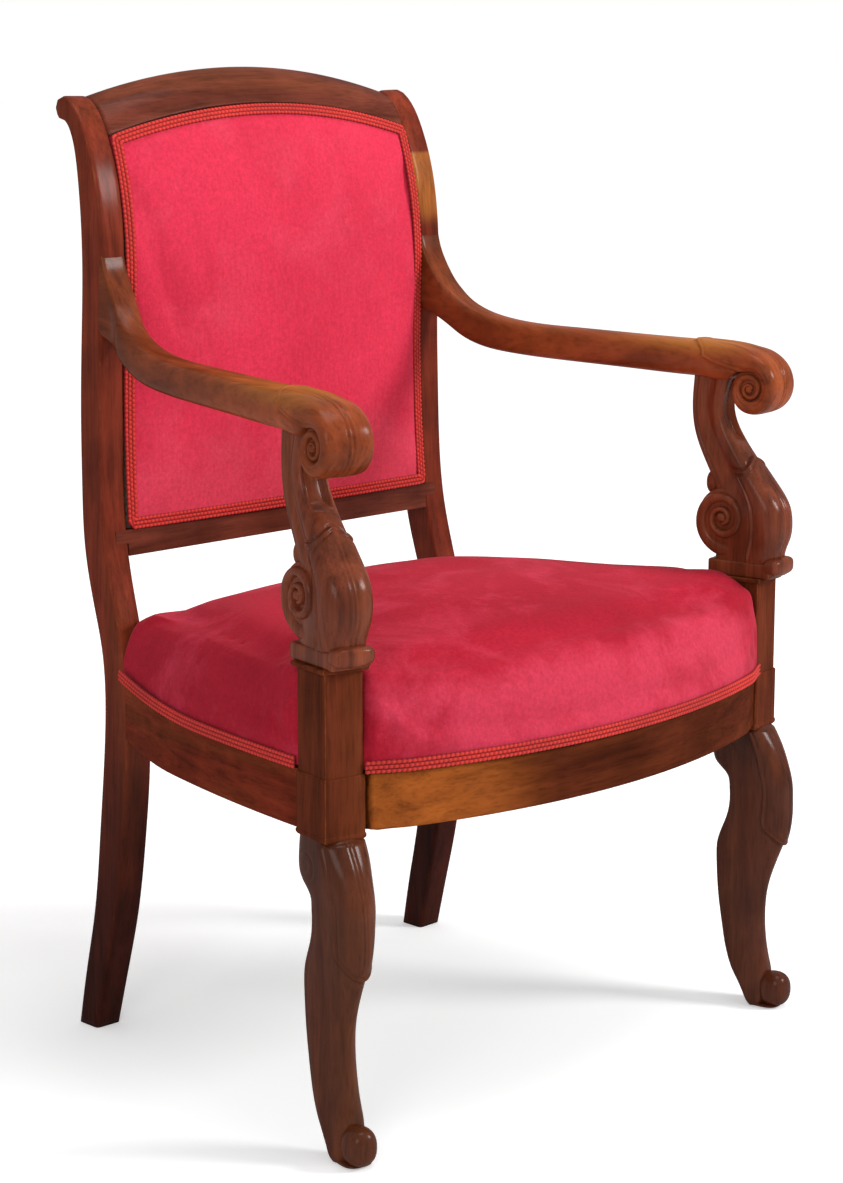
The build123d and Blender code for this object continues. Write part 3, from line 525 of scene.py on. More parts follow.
def velvet(name, deep, body, brushedAndSheen, patches, paintedSheenSteps):
    # steps where a painted sheen makes the velvet paler
    material, tree, shader = newMaterial(name)
    pile = node(tree, "ShaderNodeGroup", node_tree=pileGroup)
    setInputs(pile, {"Deep": (*deep, 1), "Body": (*body, 1), "BrushedAndSheen": (*brushedAndSheen, 1), "Patches": patches})
    tree.links.new(patchMask(tree, paintedSheenSteps), pile.inputs["PaintedSheen"])
    tree.links.new(pile.outputs["Color"], shader.inputs["Base Color"])
    setInputs(shader, {"Roughness": 0.95, "Specular IOR Level": 0.1, "Sheen Weight": 0.1, "Sheen Roughness": 0.4,
                       "Sheen Tint": (1.0, 0.35, 0.42, 1)})
    addBump(tree, shader, pile.outputs["Height"], 0.2, 0.0005)
    return material


def woven(name, base, thread, crown=()):
    # the painted shade between the loops of a braid and the painted highlight on top of them, which multiply the
    # colour
    material, tree, shader = newMaterial(name)
    weave = node(tree, "ShaderNodeGroup", node_tree=weaveGroup)
    setInputs(weave, {"Base": (*base, 1), "Thread": thread})
    colour = weave.outputs["Color"]
    if crown:
        # painted shade and painted highlight, read from the loop height
        height = node(tree, "ShaderNodeAttribute", attribute_name="wearAndLoopShading").outputs["Fac"]
        colour = mix(tree, 1.0, colour, ramp(tree, height, *crown), "MULTIPLY")
    tree.links.new(colour, shader.inputs["Base Color"])
    shader.inputs["Roughness"].default_value = 0.9
    addBump(tree, shader, weave.outputs["Height"], 0.4, 0.0008)
    return material


upGrain = (1.0, 1.0, 0.07)
depthGrain = (1.0, 0.07, 1.0)
crossGrain = (0.07, 1.0, 1.0)
armGrain = (1.0, 0.09, 0.4)
legWood = frameWood("mahoganyLegs", upGrain, middle=(0.14, 0.036, 0.0165), coat=0.2)
postWood = frameWood("mahoganyPosts", upGrain, middle=(0.21, 0.043, 0.0165), coat=0.04)
consoleWood = frameWood("mahoganyConsoles", upGrain, middle=(0.29, 0.067, 0.03), coat=0.2)
# painted shade darkens the rear legs towards the floor
uprightWood = frameWood("mahoganyUprights", upGrain, middle=(0.3, 0.047, 0.022), shaded=(("Z", 0.42, 0.12),),
                        faded=(("X", 0.0, 0.01), ("Z", 0.765, 0.79), ("Z", 0.846, 0.842)))
# painted shade darkens the arms towards their rear ends
armWood = frameWood("mahoganyArms", armGrain, dark=(0.075, 0.015, 0.006), middle=(0.49, 0.102, 0.032), figure=0.3,
                    coat=0.16, shaded=(("Y", 0.0, 0.3),),
                    faded=(("Y", 0.02, -0.13), ("Z", 0.65, 0.668), ("Y", -0.2, -0.15)))
crestWood = frameWood("mahoganyCrest", crossGrain, figure=0.2, middle=(0.23, 0.053, 0.03))
railWood = frameWood("mahoganyFrontRail", crossGrain, dark=(0.03, 0.0065, 0.0032), middle=(0.15, 0.03, 0.0115),
                     light=(0.38, 0.1, 0.018), figure=0.15, coat=0.02, faded=(("X", -0.07, -0.19),))
sideRailWood = frameWood("mahoganySideRails", depthGrain, figure=0.2, middle=(0.29, 0.042, 0.018), coat=0.03)
plainWood = frameWood("beechInside", crossGrain, dark=(0.1, 0.045, 0.02), middle=(0.22, 0.11, 0.05),
                      light=(0.35, 0.2, 0.1), coat=0.0)
# painted sheen: on the seat it pales the front border, on the back the lower part
seatVelvet = velvet("crimsonVelvet", (0.31, 0.008, 0.02), (0.45, 0.0135, 0.033), (0.63, 0.048, 0.092), 0.8,
                    (("Y", -0.19, -0.25), ("Z", 0.44, 0.40)))
backVelvet = velvet("crimsonVelvetBack", (0.58, 0.026, 0.058), (0.72, 0.036, 0.08), (0.76, 0.085, 0.135), 0.4,
                    (("Z", 0.62, 0.52),))
# the braid gets a painted shade between its loops and a painted highlight on their tops
gimp = woven("braidThread", (0.88, 0.048, 0.034), 900.0,
             ((0.2, (0.42, 0.15, 0.24, 1)), (0.9, (1.12, 1.05, 1.0, 1))))
jute = woven("juteWebbing", (0.42, 0.3, 0.16), 320.0)
hessian = woven("hessian", (0.32, 0.25, 0.16), 420.0)
blackCloth = woven("dustCloth", (0.05, 0.045, 0.042), 700.0)
print("materials ready")


# carved frame

rearLeg = {
    # front edge y, height, rear edge y, height, half width
    "rows": ((209, 0.6, 238, 0.6, 14.5), (194.5, 60, 225, 60, 16), (180, 118, 212, 118, 16.5),
             (166.5, 205, 202, 205, 16.5), (159, 285, 196, 285, 15.5), (161, 345, 195.5, 345, 14.5),
             (167, 385, 200, 385, 14.5), (177, 424, 211, 424, 14.5), (191, 482, 225, 482, 14.5),
             (196.5, 540, 228.5, 540, 14.5), (197.5, 610, 229.5, 610, 14.5), (197, 682, 227.5, 682, 14.5),
             (194, 748, 225.7, 748, 14.5), (196.5, 795, 227.5, 795, 14.5), (204, 834, 231.5, 834, 14.5),
             (217, 869, 238, 866, 14.5), (231, 893, 246, 881, 14.5), (242, 903.5, 251, 884.5, 14.5),
             (253, 907.5, 255.5, 885.5, 14.5), (260.5, 904, 258.5, 886.5, 14.3), (263.5, 897.5, 260.5, 889, 13.5)),
    # points around, power of the front and of the rear, depth to width
    "section": (64, 9, 11, 1.1), "count": 150,
}
addPair("rearLeg", sawn(rearLeg, legSpace), uprightWood, ("rear_leg",))

frontLeg = {
    # front edge u, z, rear edge u, z, half widths
    "rows": ((23, 291, -26, 291, 21, 21.5), (37, 268, -28, 270, 21, 23), (45, 249, -25.5, 252, 19.3, 23),
             (50, 230, -13, 239.5, 17, 22), (51, 217, -8.6, 229, 15.3, 22), (51.5, 203, -7.5, 214, 13.5, 22),
             (49, 181, -11.5, 193, 11.5, 22), (44.5, 167, -17.5, 178, 10.8, 22), (41, 158, -20, 170, 10.5, 22),
             (31.5, 131, -20.7, 148, 9.8, 22), (27, 102, -18, 116, 10, 22), (27.5, 74, -12.5, 82, 11, 22),
             (31, 50, -5.5, 50, 12.5, 21.5), (34, 34, 4, 27, 13.5, 20.5), (34.5, 17, 11.5, 12, 13.5, 19),
             (33, 4, 16, 3.5, 13, 17), (32, 1.4, 17.5, 1.2, 12, 15.5)),
    "section": (160, 2.5, 4.5, 1.4), "count": 300,
    "leafTip": 172.0, "tipCurve": 0.075, "leafTop": (290, 284), "leafRise": 2.5, "leafSoft": 0.7,
    "leafBlend": 4.0, "leafGrow": 1.6,
    # height, place across the section where the leaf ends
    "leafSide": ((175, 0.2), (215, 0.35), (260, 0.58)),
    # height, place, width of the lines along the leaf, down the rear edge and beside the middle
    "edge": ((0.8, 1.6, 1.1), (-1.0, 4.0, 0.9), (-1.7, -1.2, 1.0)),
    "bead": ((1.2, -0.93, 0.07), (-0.96, -0.76, 0.06)), "beadEnds": ((20, 40), (238, 222)),
    "groove": ((-1.0, 1.7, 0.65),), "grooveFront": (0.4, 0.7), "grooveEnd": (180, 190),
    "knee": (-10.0, 264.0), "curlPitch": 9.0, "curlEnd": (18, 14), "curlDepth": 0.5,
    # middle u, z, radii along u, v, z, power of the ring and across it
    "balls": {"toe": ((40.5, 18.8), (15.8, 14.8, 17.6), 2.4, 2.4),
              "toeSole": ((31.0, 2.3), (16.5, 14.0, 2.25), 2.4, 3)},
}
post = {
    # rear u, front u, half width, low z, high z, rounding
    "frontBlock": (-26, 23, 21, 288.5, 345, 1.5), "blockBead": (-26.8, 23.8, 21.8, 288, 295, 3.2),
    "frontPost": (-24.5, 21.5, 19.5, 344, 437.5, 1.2), "frontPlate": (-29, 26, 24, 437, 441, 1.2),
}
sideScale = 30    # about the millimetres for a step of 1 from the rear to the front of a section


def carvedLeaf(piece, inside, v, p, along):
    # raised inside its outline, with lines along the edge and two grooves beside the middle
    leaf = smoothStep(-piece["leafSoft"], piece["leafSoft"], inside)
    groove = ridges(np.abs(v), piece["groove"]) * smoothStep(*piece["grooveFront"], p) * along
    return piece["leafRise"] * leaf + ridges(inside, piece["edge"]) + groove * leaf


def legRelief(u, v, z, p, q):
    # a leaf on the knee with a U-shaped tip, a bead down the rear edge, and a shallow spiral on the bulge behind
    # the knee
    sideLimit = np.interp(z, *zip(*frontLeg["leafSide"]))
    fromTip = z - frontLeg["leafTip"] - frontLeg["tipCurve"] * v ** 2
    inside = softMin(fromTip, (p - sideLimit) * sideScale, frontLeg["leafBlend"]) + frontLeg["leafGrow"]
    leaf = carvedLeaf(frontLeg, inside, v, p, smoothStep(*frontLeg["grooveEnd"], z))
    low, high = frontLeg["beadEnds"]
    bead = ridges(p, frontLeg["bead"]) * smoothStep(*low, z) * smoothStep(*high, z)
    du, dz = u - frontLeg["knee"][0], z - frontLeg["knee"][1]
    radius = np.hypot(du, dz)
    phase = (radius / frontLeg["curlPitch"] + np.arctan2(dz, du) / (2 * pi)) % 1
    curl = bump(phase - 0.5, 0.12) * smoothStep(*frontLeg["curlEnd"], radius) * (np.abs(q) > 0.6)
    return leaf * smoothStep(*frontLeg["leafTop"], z) + bead - frontLeg["curlDepth"] * curl


addPair("frontLeg", sawn(frontLeg, armSpace, legRelief), legWood, ("front_leg",))
addBalls(frontLeg["balls"], legWood)
for name, box in post.items():
    addPair(name, roundedBox(*box), postWood)

voluteEye = (-21.0, 498.0)
console = {
    "rows": ((-14, 645, -59, 645, 17, 13), (-18, 630, -60, 630, 17.2, 13), (-23.5, 610, -61, 612, 17.5, 13),
             (-20, 590, -60, 592, 18, 13), (-9, 571, -55.5, 574, 19, 13.5), (7, 550, -46, 553, 21, 14),
             (23, 530, -37, 535, 23, 14.5), (36, 511, -31, 515, 24.5, 15), (39.5, 495, -29, 495, 24.5, 16),
             (38, 478, -30, 475, 22.5, 16.5), (34, 466, -31, 464, 20.5, 17), (33, 456, -33, 456, 19.5, 17.5),
             (33, 446, -33, 446, 19.5, 17.5)),
    "section": (200, 3, 4, 1.6), "count": 280,
    "bracket": 556.0, "bracketCurve": 0.03, "bracketPoint": ((1.6, 0.0, 4.0),), "leafSide": 0.2,
    "leafRise": 2.3, "leafSoft": 0.6, "leafBlend": 1.6, "leafGrow": 0.7, "leafEnd": (452, 462),
    "edge": ((0.7, 1.6, 1.1), (-0.9, 4.0, 0.9), (-1.1, -1.2, 0.9)),
    "bead": ((1.5, -0.93, 0.06), (-2.25, -0.78, 0.045)), "beadStart": (505, 540),
    "hollow": ((-4.2, -0.12, 0.36),), "hollowStart": (500, 545), "hollowSide": (0.3, 0.7),
    "channel": 6.5, "channelSide": (12.5, 8), "channelFront": (0.45, 0.8), "channelEnds": ((568, 582), (642, 636)),
    "groove": ((-1.3, 2.4, 0.75),), "grooveFront": (0.45, 0.75), "grooveEnd": (550, 540),
    # volute: degrees clockwise from the top, with the band's outer radius or half width
    "eye": voluteEye, "gap": 2.2, "angles": (96, 890, 4), "bandSection": (72, 2.9, 2.9, 0.6),
    "radii": ((-120, 45), (90, 45), (135, 45), (180, 42), (225, 37), (270, 31), (315, 27.8), (360, 25.6),
              (405, 24.6), (450, 23.8), (495, 23), (540, 21.5), (585, 17.6), (630, 14), (675, 12.6), (720, 12),
              (765, 11.5), (810, 10.7), (855, 9.8), (900, 8.8), (945, 7), (990, 5), (1080, 2), (1260, 0.2),
              (1500, 0.1)),
    "halves": ((90, 15.0), (180, 18.0), (270, 20.5), (360, 22.0), (450, 22.6), (600, 22.2), (900, 21.6)),
    "balls": {"voluteCore": (voluteEye, (29.0, 17.0, 29.0), 2, 9),
              "consoleEye": (voluteEye, (6.5, 23.0, 6.5), 3, 3),
              "consoleBud": ((-37.0, 530.0), (9.5, 12.0, 13.0), 2.3, 2.3)},
    "plinth": (-36, 34, 20, 441, 456, 2.0),
    "foot": {"consoleRoll": ((32.5, 452.5), (10.0, 21.0, 9.0), 3.2, 3.2)},
}


def consoleRelief(u, v, z, p, q):
    # thin bead along the rear edge, broad hollow beside it, channel down the front above a bracket-shaped lip,
    # and a leaf below the lip
    bead = ridges(p, console["bead"]) * smoothStep(*console["beadStart"], z)
    hollow = ridges(p, console["hollow"]) * smoothStep(*console["hollowStart"], z)
    hollow *= smoothStep(*console["hollowSide"], np.abs(q))
    bracket = console["bracket"] - console["bracketCurve"] * v ** 2 + ridges(v, console["bracketPoint"])
    fromSide = (p - console["leafSide"]) * sideScale
    inside = softMin(bracket - z, fromSide, console["leafBlend"]) + console["leafGrow"]
    leaf = carvedLeaf(console, inside, v, p, smoothStep(*console["grooveEnd"], z))
    low, high = console["channelEnds"]
    channel = smoothStep(*console["channelSide"], np.abs(v)) * smoothStep(*low, z) * smoothStep(*high, z)
    channel *= smoothStep(*console["channelFront"], p)
    return bead + hollow + leaf * smoothStep(*console["leafEnd"], z) - console["channel"] * channel


addPair("console", sawn(console, armSpace, consoleRelief), consoleWood, ("arm_console",))
voluteTable = spiral(console["eye"], console["radii"], *console["angles"], console["gap"], console["halves"])
addPair("consoleVolute", limb(voluteTable, armSpace, sectionRing(*console["bandSection"])), consoleWood)
addBalls(console["balls"], consoleWood)
addPair("consolePlinth", roundedBox(*console["plinth"]), consoleWood)
addBalls(console["foot"], consoleWood)

scrollEye = (6.5, 626.5)
arm = {
    # top edge u, z, underside u, z, half widths
    "rows": ((-382.8, 772, -394, 706, 14.4, 14.4), (-378.2, 750, -392, 692, 14.4, 14.4),
             (-366.5, 727.5, -382, 684.5, 14.4, 14.4), (-353, 709.3, -362.5, 675, 14.5, 14.5),
             (-338, 696.5, -345, 661.5, 14.5, 14.5), (-318, 686, -322, 650.5, 14.6, 14.6),
             (-277, 676.5, -280, 643, 15, 15), (-204, 672.5, -205, 639, 16.5, 16.3),
             (-125, 670.5, -125, 636.5, 19, 18.5), (-70, 669.5, -70, 634.8, 21, 20.5),
             (-38, 668.8, -41, 633.5, 22.2, 22), (-22, 667.8, -26, 632.2, 22.8, 22.6),
             (-10, 666.2, -15.5, 635.2, 23, 22.8), (-1, 664.2, -8, 641, 23, 22.9)),
    # the first part of the curve is sampled coarsely: share, points, and the points of the rest
    "coarse": (0.66, 90, 120), "section": (150, 3.4, 3.6, 0.6), "squareSection": (150, 9, 9, 0.6),
    "squared": (-330, -370), "flush": (-345, -376),
    # scroll: degrees clockwise from the top, with the band's outer radius or half width
    "eye": scrollEye, "gap": 1.4, "joinAngles": (14, 80, 15), "angles": (77, 800, 3),
    "radii": ((-120, 52), (-30, 45), (-15, 39.5), (0, 35.8), (15, 33.4), (30, 31.6), (45, 30.2), (60, 28.9),
              (75, 27.9), (90, 27), (135, 25.3), (180, 23.5), (225, 20.5), (270, 18), (315, 16.8), (360, 16),
              (405, 14.6), (450, 13), (495, 12), (540, 11), (585, 9.2), (630, 7.8), (675, 7.2), (720, 6.8),
              (765, 6), (810, 5), (900, 3), (1080, 0.5), (1500, 0.1)),
    "halves": ((0, 23.0), (180, 23.2), (400, 22.6), (800, 22.0)),
    "balls": {"armCore": (scrollEye, (20.5, 19.0, 20.5), 2, 9), "armEye": (scrollEye, (5.0, 23.5, 5.0), 3, 3)},
    "leafTip": -62.0, "tipCurve": 0.035, "leafRise": 1.7, "leafSoft": 0.6,
    # lower edge of the leaf on the side: u, z
    "leafSide": ((-64, 669), (-56, 661), (-45, 655), (-30, 649.5), (-15, 645.5), (0, 643)),
    "edge": ((0.6, 1.5, 1.0), (-0.9, 3.8, 0.8), (-1.1, -1.2, 0.9)),
    "groove": ((-1.2, 2.4, 0.75),), "grooveFront": (0.5, 0.8), "grooveEnd": (-52, -40),
    # the carving fades out between these rows of the scroll, and the scroll begins beyond this u
    "carvedRows": (80, 40), "scrollStart": 4,
}
coarseShare, coarseCount, fineCount = arm["coarse"]
armShares = np.concatenate((np.linspace(0, coarseShare, coarseCount, endpoint=False),
                            np.linspace(coarseShare, 1, fineCount)))
joinRows = spiral(arm["eye"], arm["radii"], *arm["joinAngles"], arm["gap"], arm["halves"])
foreTable = curve(np.concatenate((arm["rows"], joinRows)), armShares)
rollTable = spiral(arm["eye"], arm["radii"], *arm["angles"], arm["gap"], arm["halves"])
armTable = np.concatenate((foreTable, rollTable))
armDepth = np.hypot(armTable[:, [0]] - armTable[:, [2]], armTable[:, [1]] - armTable[:, [3]])


def armRelief(u, v, z, p, q):
    # the leaf: rounded tip on top, lower edge sweeping down the side into the scroll
    row = np.arange(len(u))[:, None]
    rolled = (armTable[:, [0]] > arm["scrollStart"]) | (row >= len(foreTable))
    fromTip = u - arm["leafTip"] - arm["tipCurve"] * v ** 2
    onArm = np.minimum(fromTip, z - np.interp(u, *zip(*arm["leafSide"])))
    inside = np.where(rolled, (p + 1) / 2 * armDepth, onArm)
    near = smoothStep(*arm["carvedRows"], row - len(foreTable))
    return carvedLeaf(arm, inside, v, p, smoothStep(*arm["grooveEnd"], u) * near) * near


def armPlace(u, v, z):
    # towards its rear end the arm turns square to the upright and comes flush with its sides
    free = armSpace(u, v, z)
    x = uprightInner(z) + chair["legWidth"] / 2 + v
    square = np.stack(np.broadcast_arrays(x, chair["postY"] - u * cos(turn), z), -1)
    share = np.broadcast_to(smoothStep(*arm["flush"], u), free.shape[:2])[..., None]
    return free + (square - free) * share


squared = smoothStep(*arm["squared"], armTable[:, [0]])
armRing = [soft + (hard - soft) * squared
           for soft, hard in zip(sectionRing(*arm["section"]), sectionRing(*arm["squareSection"]))]
addPair("arm", limb(armTable, armPlace, armRing, armRelief), armWood, ("armrest",))
addBalls(arm["balls"], armWood)

crest = {
    # y, z and the number of points on each side of the section
    "front": (((217.5, 872.0), (223, 882), (230.5, 893), (240, 901), (250, 905.5)), 22),
    "roll": (((250, 905.5), (256, 906.3), (260.3, 903.2), (261, 898)), 9),
    "behind": (((261, 898), (252, 893.5), (246, 889), (239, 880), (234.2, 867.5)), 14),
    "under": (((234.2, 867.5), (217.5, 872)), 8),
    "count": 97, "intoLeg": 0.4, "lineAt": 5.0, "lineWidth": 0.9, "lineDepth": (0.9, -0.4),
}
sides = [crest[side] for side in ("front", "roll", "behind", "under")]
crestRing = np.concatenate([curve(rows, even(count))[:-1] for rows, count in sides])
ringLength = lengthAlong(crestRing)
# a fine line sunk along the lower front edge
crestRing = crestRing + bump(ringLength - crest["lineAt"], crest["lineWidth"])[:, None] * crest["lineDepth"]
acrossShare = np.linspace(-1, 1, crest["count"])[:, None]
crestX = acrossShare * (uprightInner(crestRing[None, :, 1]) + crest["intoLeg"])
crestGrid = np.stack((crestX, crestRing[None, :, 0] + 0 * crestX, crestRing[None, :, 1] + crestRise(crestX)), -1)
dress(gridMesh("crest", crestGrid, capStart=True, capEnd=True), crestWood, "show_wood", "crest_rail")
print("frame carved")


# upholstery

seat = {
    "apex": -263.0, "frontX": 298.0, "frontY": -196.0, "sideX": 273.0, "rearX": 224.0, "rearY": 191.0,
    "sideRise": 24.0, "tackLine": 345.3, "crown": 454.0, "postRear": 25.2, "postInner": 20.2, "tuck": 6.0,
    "rearDrop": 0.1, "sideDrop": 0.06, "cornerFill": 1.0, "cornerReach": 90.0, "cornerBox": 0.4,
    # share of the height, how far the cover stands out from the tack line
    "profile": ((0, 1.2), (0.15, 1.6), (0.36, 4.0), (0.58, -3.5), (0.74, -28), (0.84, -58), (0.91, -92),
                (0.96, -126), (0.99, -160), (1, -192)), "rings": 40,
    # notch for the rear leg: height, front face y, and the gaps left beside and before it
    "legFace": ((345, 161), (385, 167), (424, 177), (456, 185)), "legGap": (0.8, 0.6),
    # where the lower edge climbs, the front edge is tucked and the crown drops
    "climbX": (204, 224), "tuckX": (228, 268), "tuckY": (-160, -190), "tuckZ": (390, 355),
    "dropY": (0, 170), "dropX": (40, 180),
    "heldHeight": 15.0, "voxel": 0.006, "easing": 14, "cap": 0.006, "fill": 0.8,
}
backCushion = {"heldBehind": 206.0, "heldBelow": 505.0, "voxel": 0.005, "easing": 6, "cap": 0.004, "fill": 0.7}
swelling = {"pressure": 4.0, "stiffness": 40, "bending": 4, "frames": 20, "lastEasing": 3}
cornerSlope = 0.75    # how far the front corner moves forwards for each millimetre outwards


def arcThrough(first, middle, last, count):
    # points on the circle through three points
    a, b, c = (np.array(p, float) for p in (first, middle, last))
    centre = circleCentre(a, b, c)
    angles = np.unwrap([atan2(*(p - centre)[::-1]) for p in (a, b, c)])
    share = np.linspace(angles[0], angles[2], count)
    return centre + np.linalg.norm(a - centre) * np.stack((np.cos(share), np.sin(share)), -1)


def frontCorner(out):
    return seat["frontX"] + out, seat["frontY"] - cornerSlope * out


def frontLine(out, count):
    x, y = frontCorner(out)
    return arcThrough((-x, y), (0, seat["apex"] - out), (x, y), count)


def sideLine(out, rearOut, count):
    rear = (seat["rearX"] + out + rearOut, seat["rearY"] + out + rearOut)
    return arcThrough(frontCorner(out), (seat["sideX"] + out + rearOut / 3, 0), rear, count)


def softPad(pad, parts, look, pinned, material):
    # the padding swells under pressure inside its cover, by no more than the cap; pinned points stay put
    bpy.context.view_layer.objects.active = pad
    remesh = pad.modifiers.new("remesh", "REMESH")
    remesh.mode = "VOXEL"
    remesh.voxel_size = look["voxel"]
    bpy.ops.object.modifier_apply(modifier="remesh")
    count = len(pad.data.vertices)
    before = np.empty(count * 3, np.float32)
    pad.data.vertices.foreach_get("co", before)
    free = pad.vertex_groups.new(name="free")
    free.add(np.nonzero(~pinned(before.reshape(-1, 3) * 1000))[0].tolist(), 1.0, "REPLACE")
    for group, rounds in (("free", look["easing"]), ("", swelling["lastEasing"])):
        relax = pad.modifiers.new("relax", "SMOOTH")
        relax.factor = 0.5
        relax.iterations = rounds
        relax.vertex_group = group
        bpy.ops.object.modifier_apply(modifier="relax")
    pad.data.vertices.foreach_get("co", before)
    before = before.reshape(-1, 3)
    held = pad.vertex_groups.new(name="held")
    held.add(np.nonzero(pinned(before * 1000))[0].tolist(), 1.0, "REPLACE")
    cloth = pad.modifiers.new("cloth", "CLOTH")
    cloth.settings.use_pressure = True
    cloth.settings.uniform_pressure_force = swelling["pressure"]
    cloth.settings.vertex_group_mass = "held"
    cloth.settings.tension_stiffness = cloth.settings.compression_stiffness = swelling["stiffness"]
    cloth.settings.bending_stiffness = swelling["bending"]
    cloth.settings.effector_weights.gravity = 0
    cloth.point_cache.frame_end = swelling["frames"]
    for step in range(1, swelling["frames"] + 1):
        bpy.context.scene.frame_set(step)
    bpy.ops.object.modifier_apply(modifier="cloth")
    bpy.context.scene.frame_set(1)
    after = np.empty(count * 3, np.float32)
    pad.data.vertices.foreach_get("co", after)
    move = after.reshape(-1, 3) - before
    size = np.linalg.norm(move, axis=1, keepdims=True)
    move *= np.minimum(1, look["cap"] / np.maximum(size, 1e-9))
    print(pad.name, "swelled", round(float(size.max()) * 1000, 1), "mm at most, held to", look["cap"] * 1000)
    pad.data.vertices.foreach_set("co", (before + move).reshape(-1))
    pad.vertex_groups.clear()
    smooth = pad.modifiers.new("fine", "SUBSURF")
    smooth.levels = smooth.render_levels = 1
    pad.data.polygons.foreach_set("use_smooth", np.ones(len(pad.data.polygons), bool))
    pad.data.materials.clear()
    dress(pad, material, "velvet", *parts)


def joined(name, parts):
    # one closed object from the solids of several nodes
    bm = bmesh.new()
    for part in parts:
        bm.from_mesh(nodes[part].data)
    bmesh.ops.remove_doubles(bm, verts=bm.verts, dist=1e-5)
    mesh = bpy.data.meshes.new(name)
    bm.to_mesh(mesh)
    bm.free()
    return addObject(name, mesh)


def sideClimb(x, y):
    # the cover's lower edge rises towards the rear legs
    return seat["sideRise"] * (np.maximum(y, 0) / seat["rearY"]) ** 2 * smoothStep(*seat["climbX"], np.abs(x))


def tuck(x):
    # the front edge is drawn back beside the posts
    return seat["tuck"] * smoothStep(*seat["tuckX"], np.abs(x))


def tucked(line):
    return line + np.column_stack((0 * line[:, 0], tuck(line[:, 0])))


def fromPost(x, y):
    # how far ahead of the middle of the post and out from it, in the arm's direction
    dx, dy = x - chair["postX"], y - chair["postY"]
    return dx * sin(turn) - dy * cos(turn), dx * cos(turn) + dy * sin(turn)


def seatRing(out):
    # the seat's outline in plan, standing out from the tack line
    front, side = frontLine(out, 121), sideLine(out, 0, 91)
    rear = np.linspace(side[-1], side[-1] * [-1, 1], 81)
    return np.concatenate((front[:-1], side[:-1], rear[:-1], (side[::-1] * [-1, 1])[:-1]))


def seatShape():
    # the seat's outline drawn in ring by ring from the tack line to the crown, then notched for posts and legs
    rings = []
    edge = seatRing(0)
    for level, out in curve(seat["profile"], even(seat["rings"])):
        ring = seatRing(out)
        base = seat["tackLine"] + sideClimb(*ring.T)
        toPost = np.hypot(np.abs(ring[:, 0]) - chair["postX"], ring[:, 1] - chair["postY"])
        nearPost = bump(toPost, seat["cornerReach"])
        ring = ring + seat["cornerFill"] * nearPost[:, None] * (edge - ring) * (out < 0)
        high = level ** (1 - seat["cornerBox"] * nearPost)
        high *= 1 - seat["rearDrop"] * smoothStep(*seat["dropY"], ring[:, 1])
        high *= 1 - seat["sideDrop"] * smoothStep(*seat["dropX"], np.abs(ring[:, 0])) * (1 - nearPost)
        rings.append(np.column_stack((ring, base + (seat["crown"] - base) * high)))
    points = np.array(rings)
    x, y, z = np.abs(points[..., 0]), points[..., 1], points[..., 2]
    y = y + tuck(x) * smoothStep(*seat["tuckY"], y) * smoothStep(*seat["tuckZ"], z)
    sign = np.sign(points[..., 0])
    ahead, out = fromPost(x, y)
    over = np.minimum(ahead + seat["postRear"], out + seat["postInner"])
    backwards = (over > 0) & (ahead + seat["postRear"] <= out + seat["postInner"])
    inwards = (over > 0) & ~backwards
    shiftBack, shiftIn = np.where(backwards, -over, 0), np.where(inwards, -over, 0)
    x = x + shiftBack * sin(turn) + shiftIn * cos(turn)
    y = y - shiftBack * cos(turn) + shiftIn * sin(turn)
    legX = uprightInner(z) - seat["legGap"][0]
    legY = np.interp(z, *zip(*seat["legFace"])) - seat["legGap"][1]
    inLeg = (x > legX) & (y > legY)
    nearFront = inLeg & (y - legY < x - legX)
    y = np.where(nearFront, legY, y)
    x = np.where(inLeg & ~nearFront, legX, x)
    return np.stack((sign * x, y, z), -1)


def seatHeld(co):
    return co[:, 2] < seat["tackLine"] + seat["heldHeight"] + sideClimb(co[:, 0], co[:, 1])


def backHeld(co):
    return (co[:, 1] > backCushion["heldBehind"]) | (co[:, 2] < backCushion["heldBelow"])


seatForm = gridMesh("seatPad", seatShape(), capStart=True, capEnd=True)
softPad(seatForm, ("seat_cover", "seat_stuffing"), seat, seatHeld, seatVelvet)
backForm = joined("backPad", ("back_cover", "back_stuffing"))
softPad(backForm, ("back_cover", "back_stuffing"), backCushion, backHeld, backVelvet)
print("pads done")


braid = {
    "half": 5.9, "pitch": 4.6, "height": 1.8, "step": 0.65, "rows": 3, "across": 19,
    "base": 0.35, "sink": 0.2, "swing": 0.6, "scallop": 0.16,
    # seat: up and out from the tack line, further out at the rear legs, to the post's inner and rear face,
    # end of the side run and half of the rear run
    "lift": 0.3, "out": 2.6, "rearOut": 3.0, "postInner": 19.9, "postRear": 26.2, "sideEnd": 160.0,
    "rearHalf": 201.8,
}


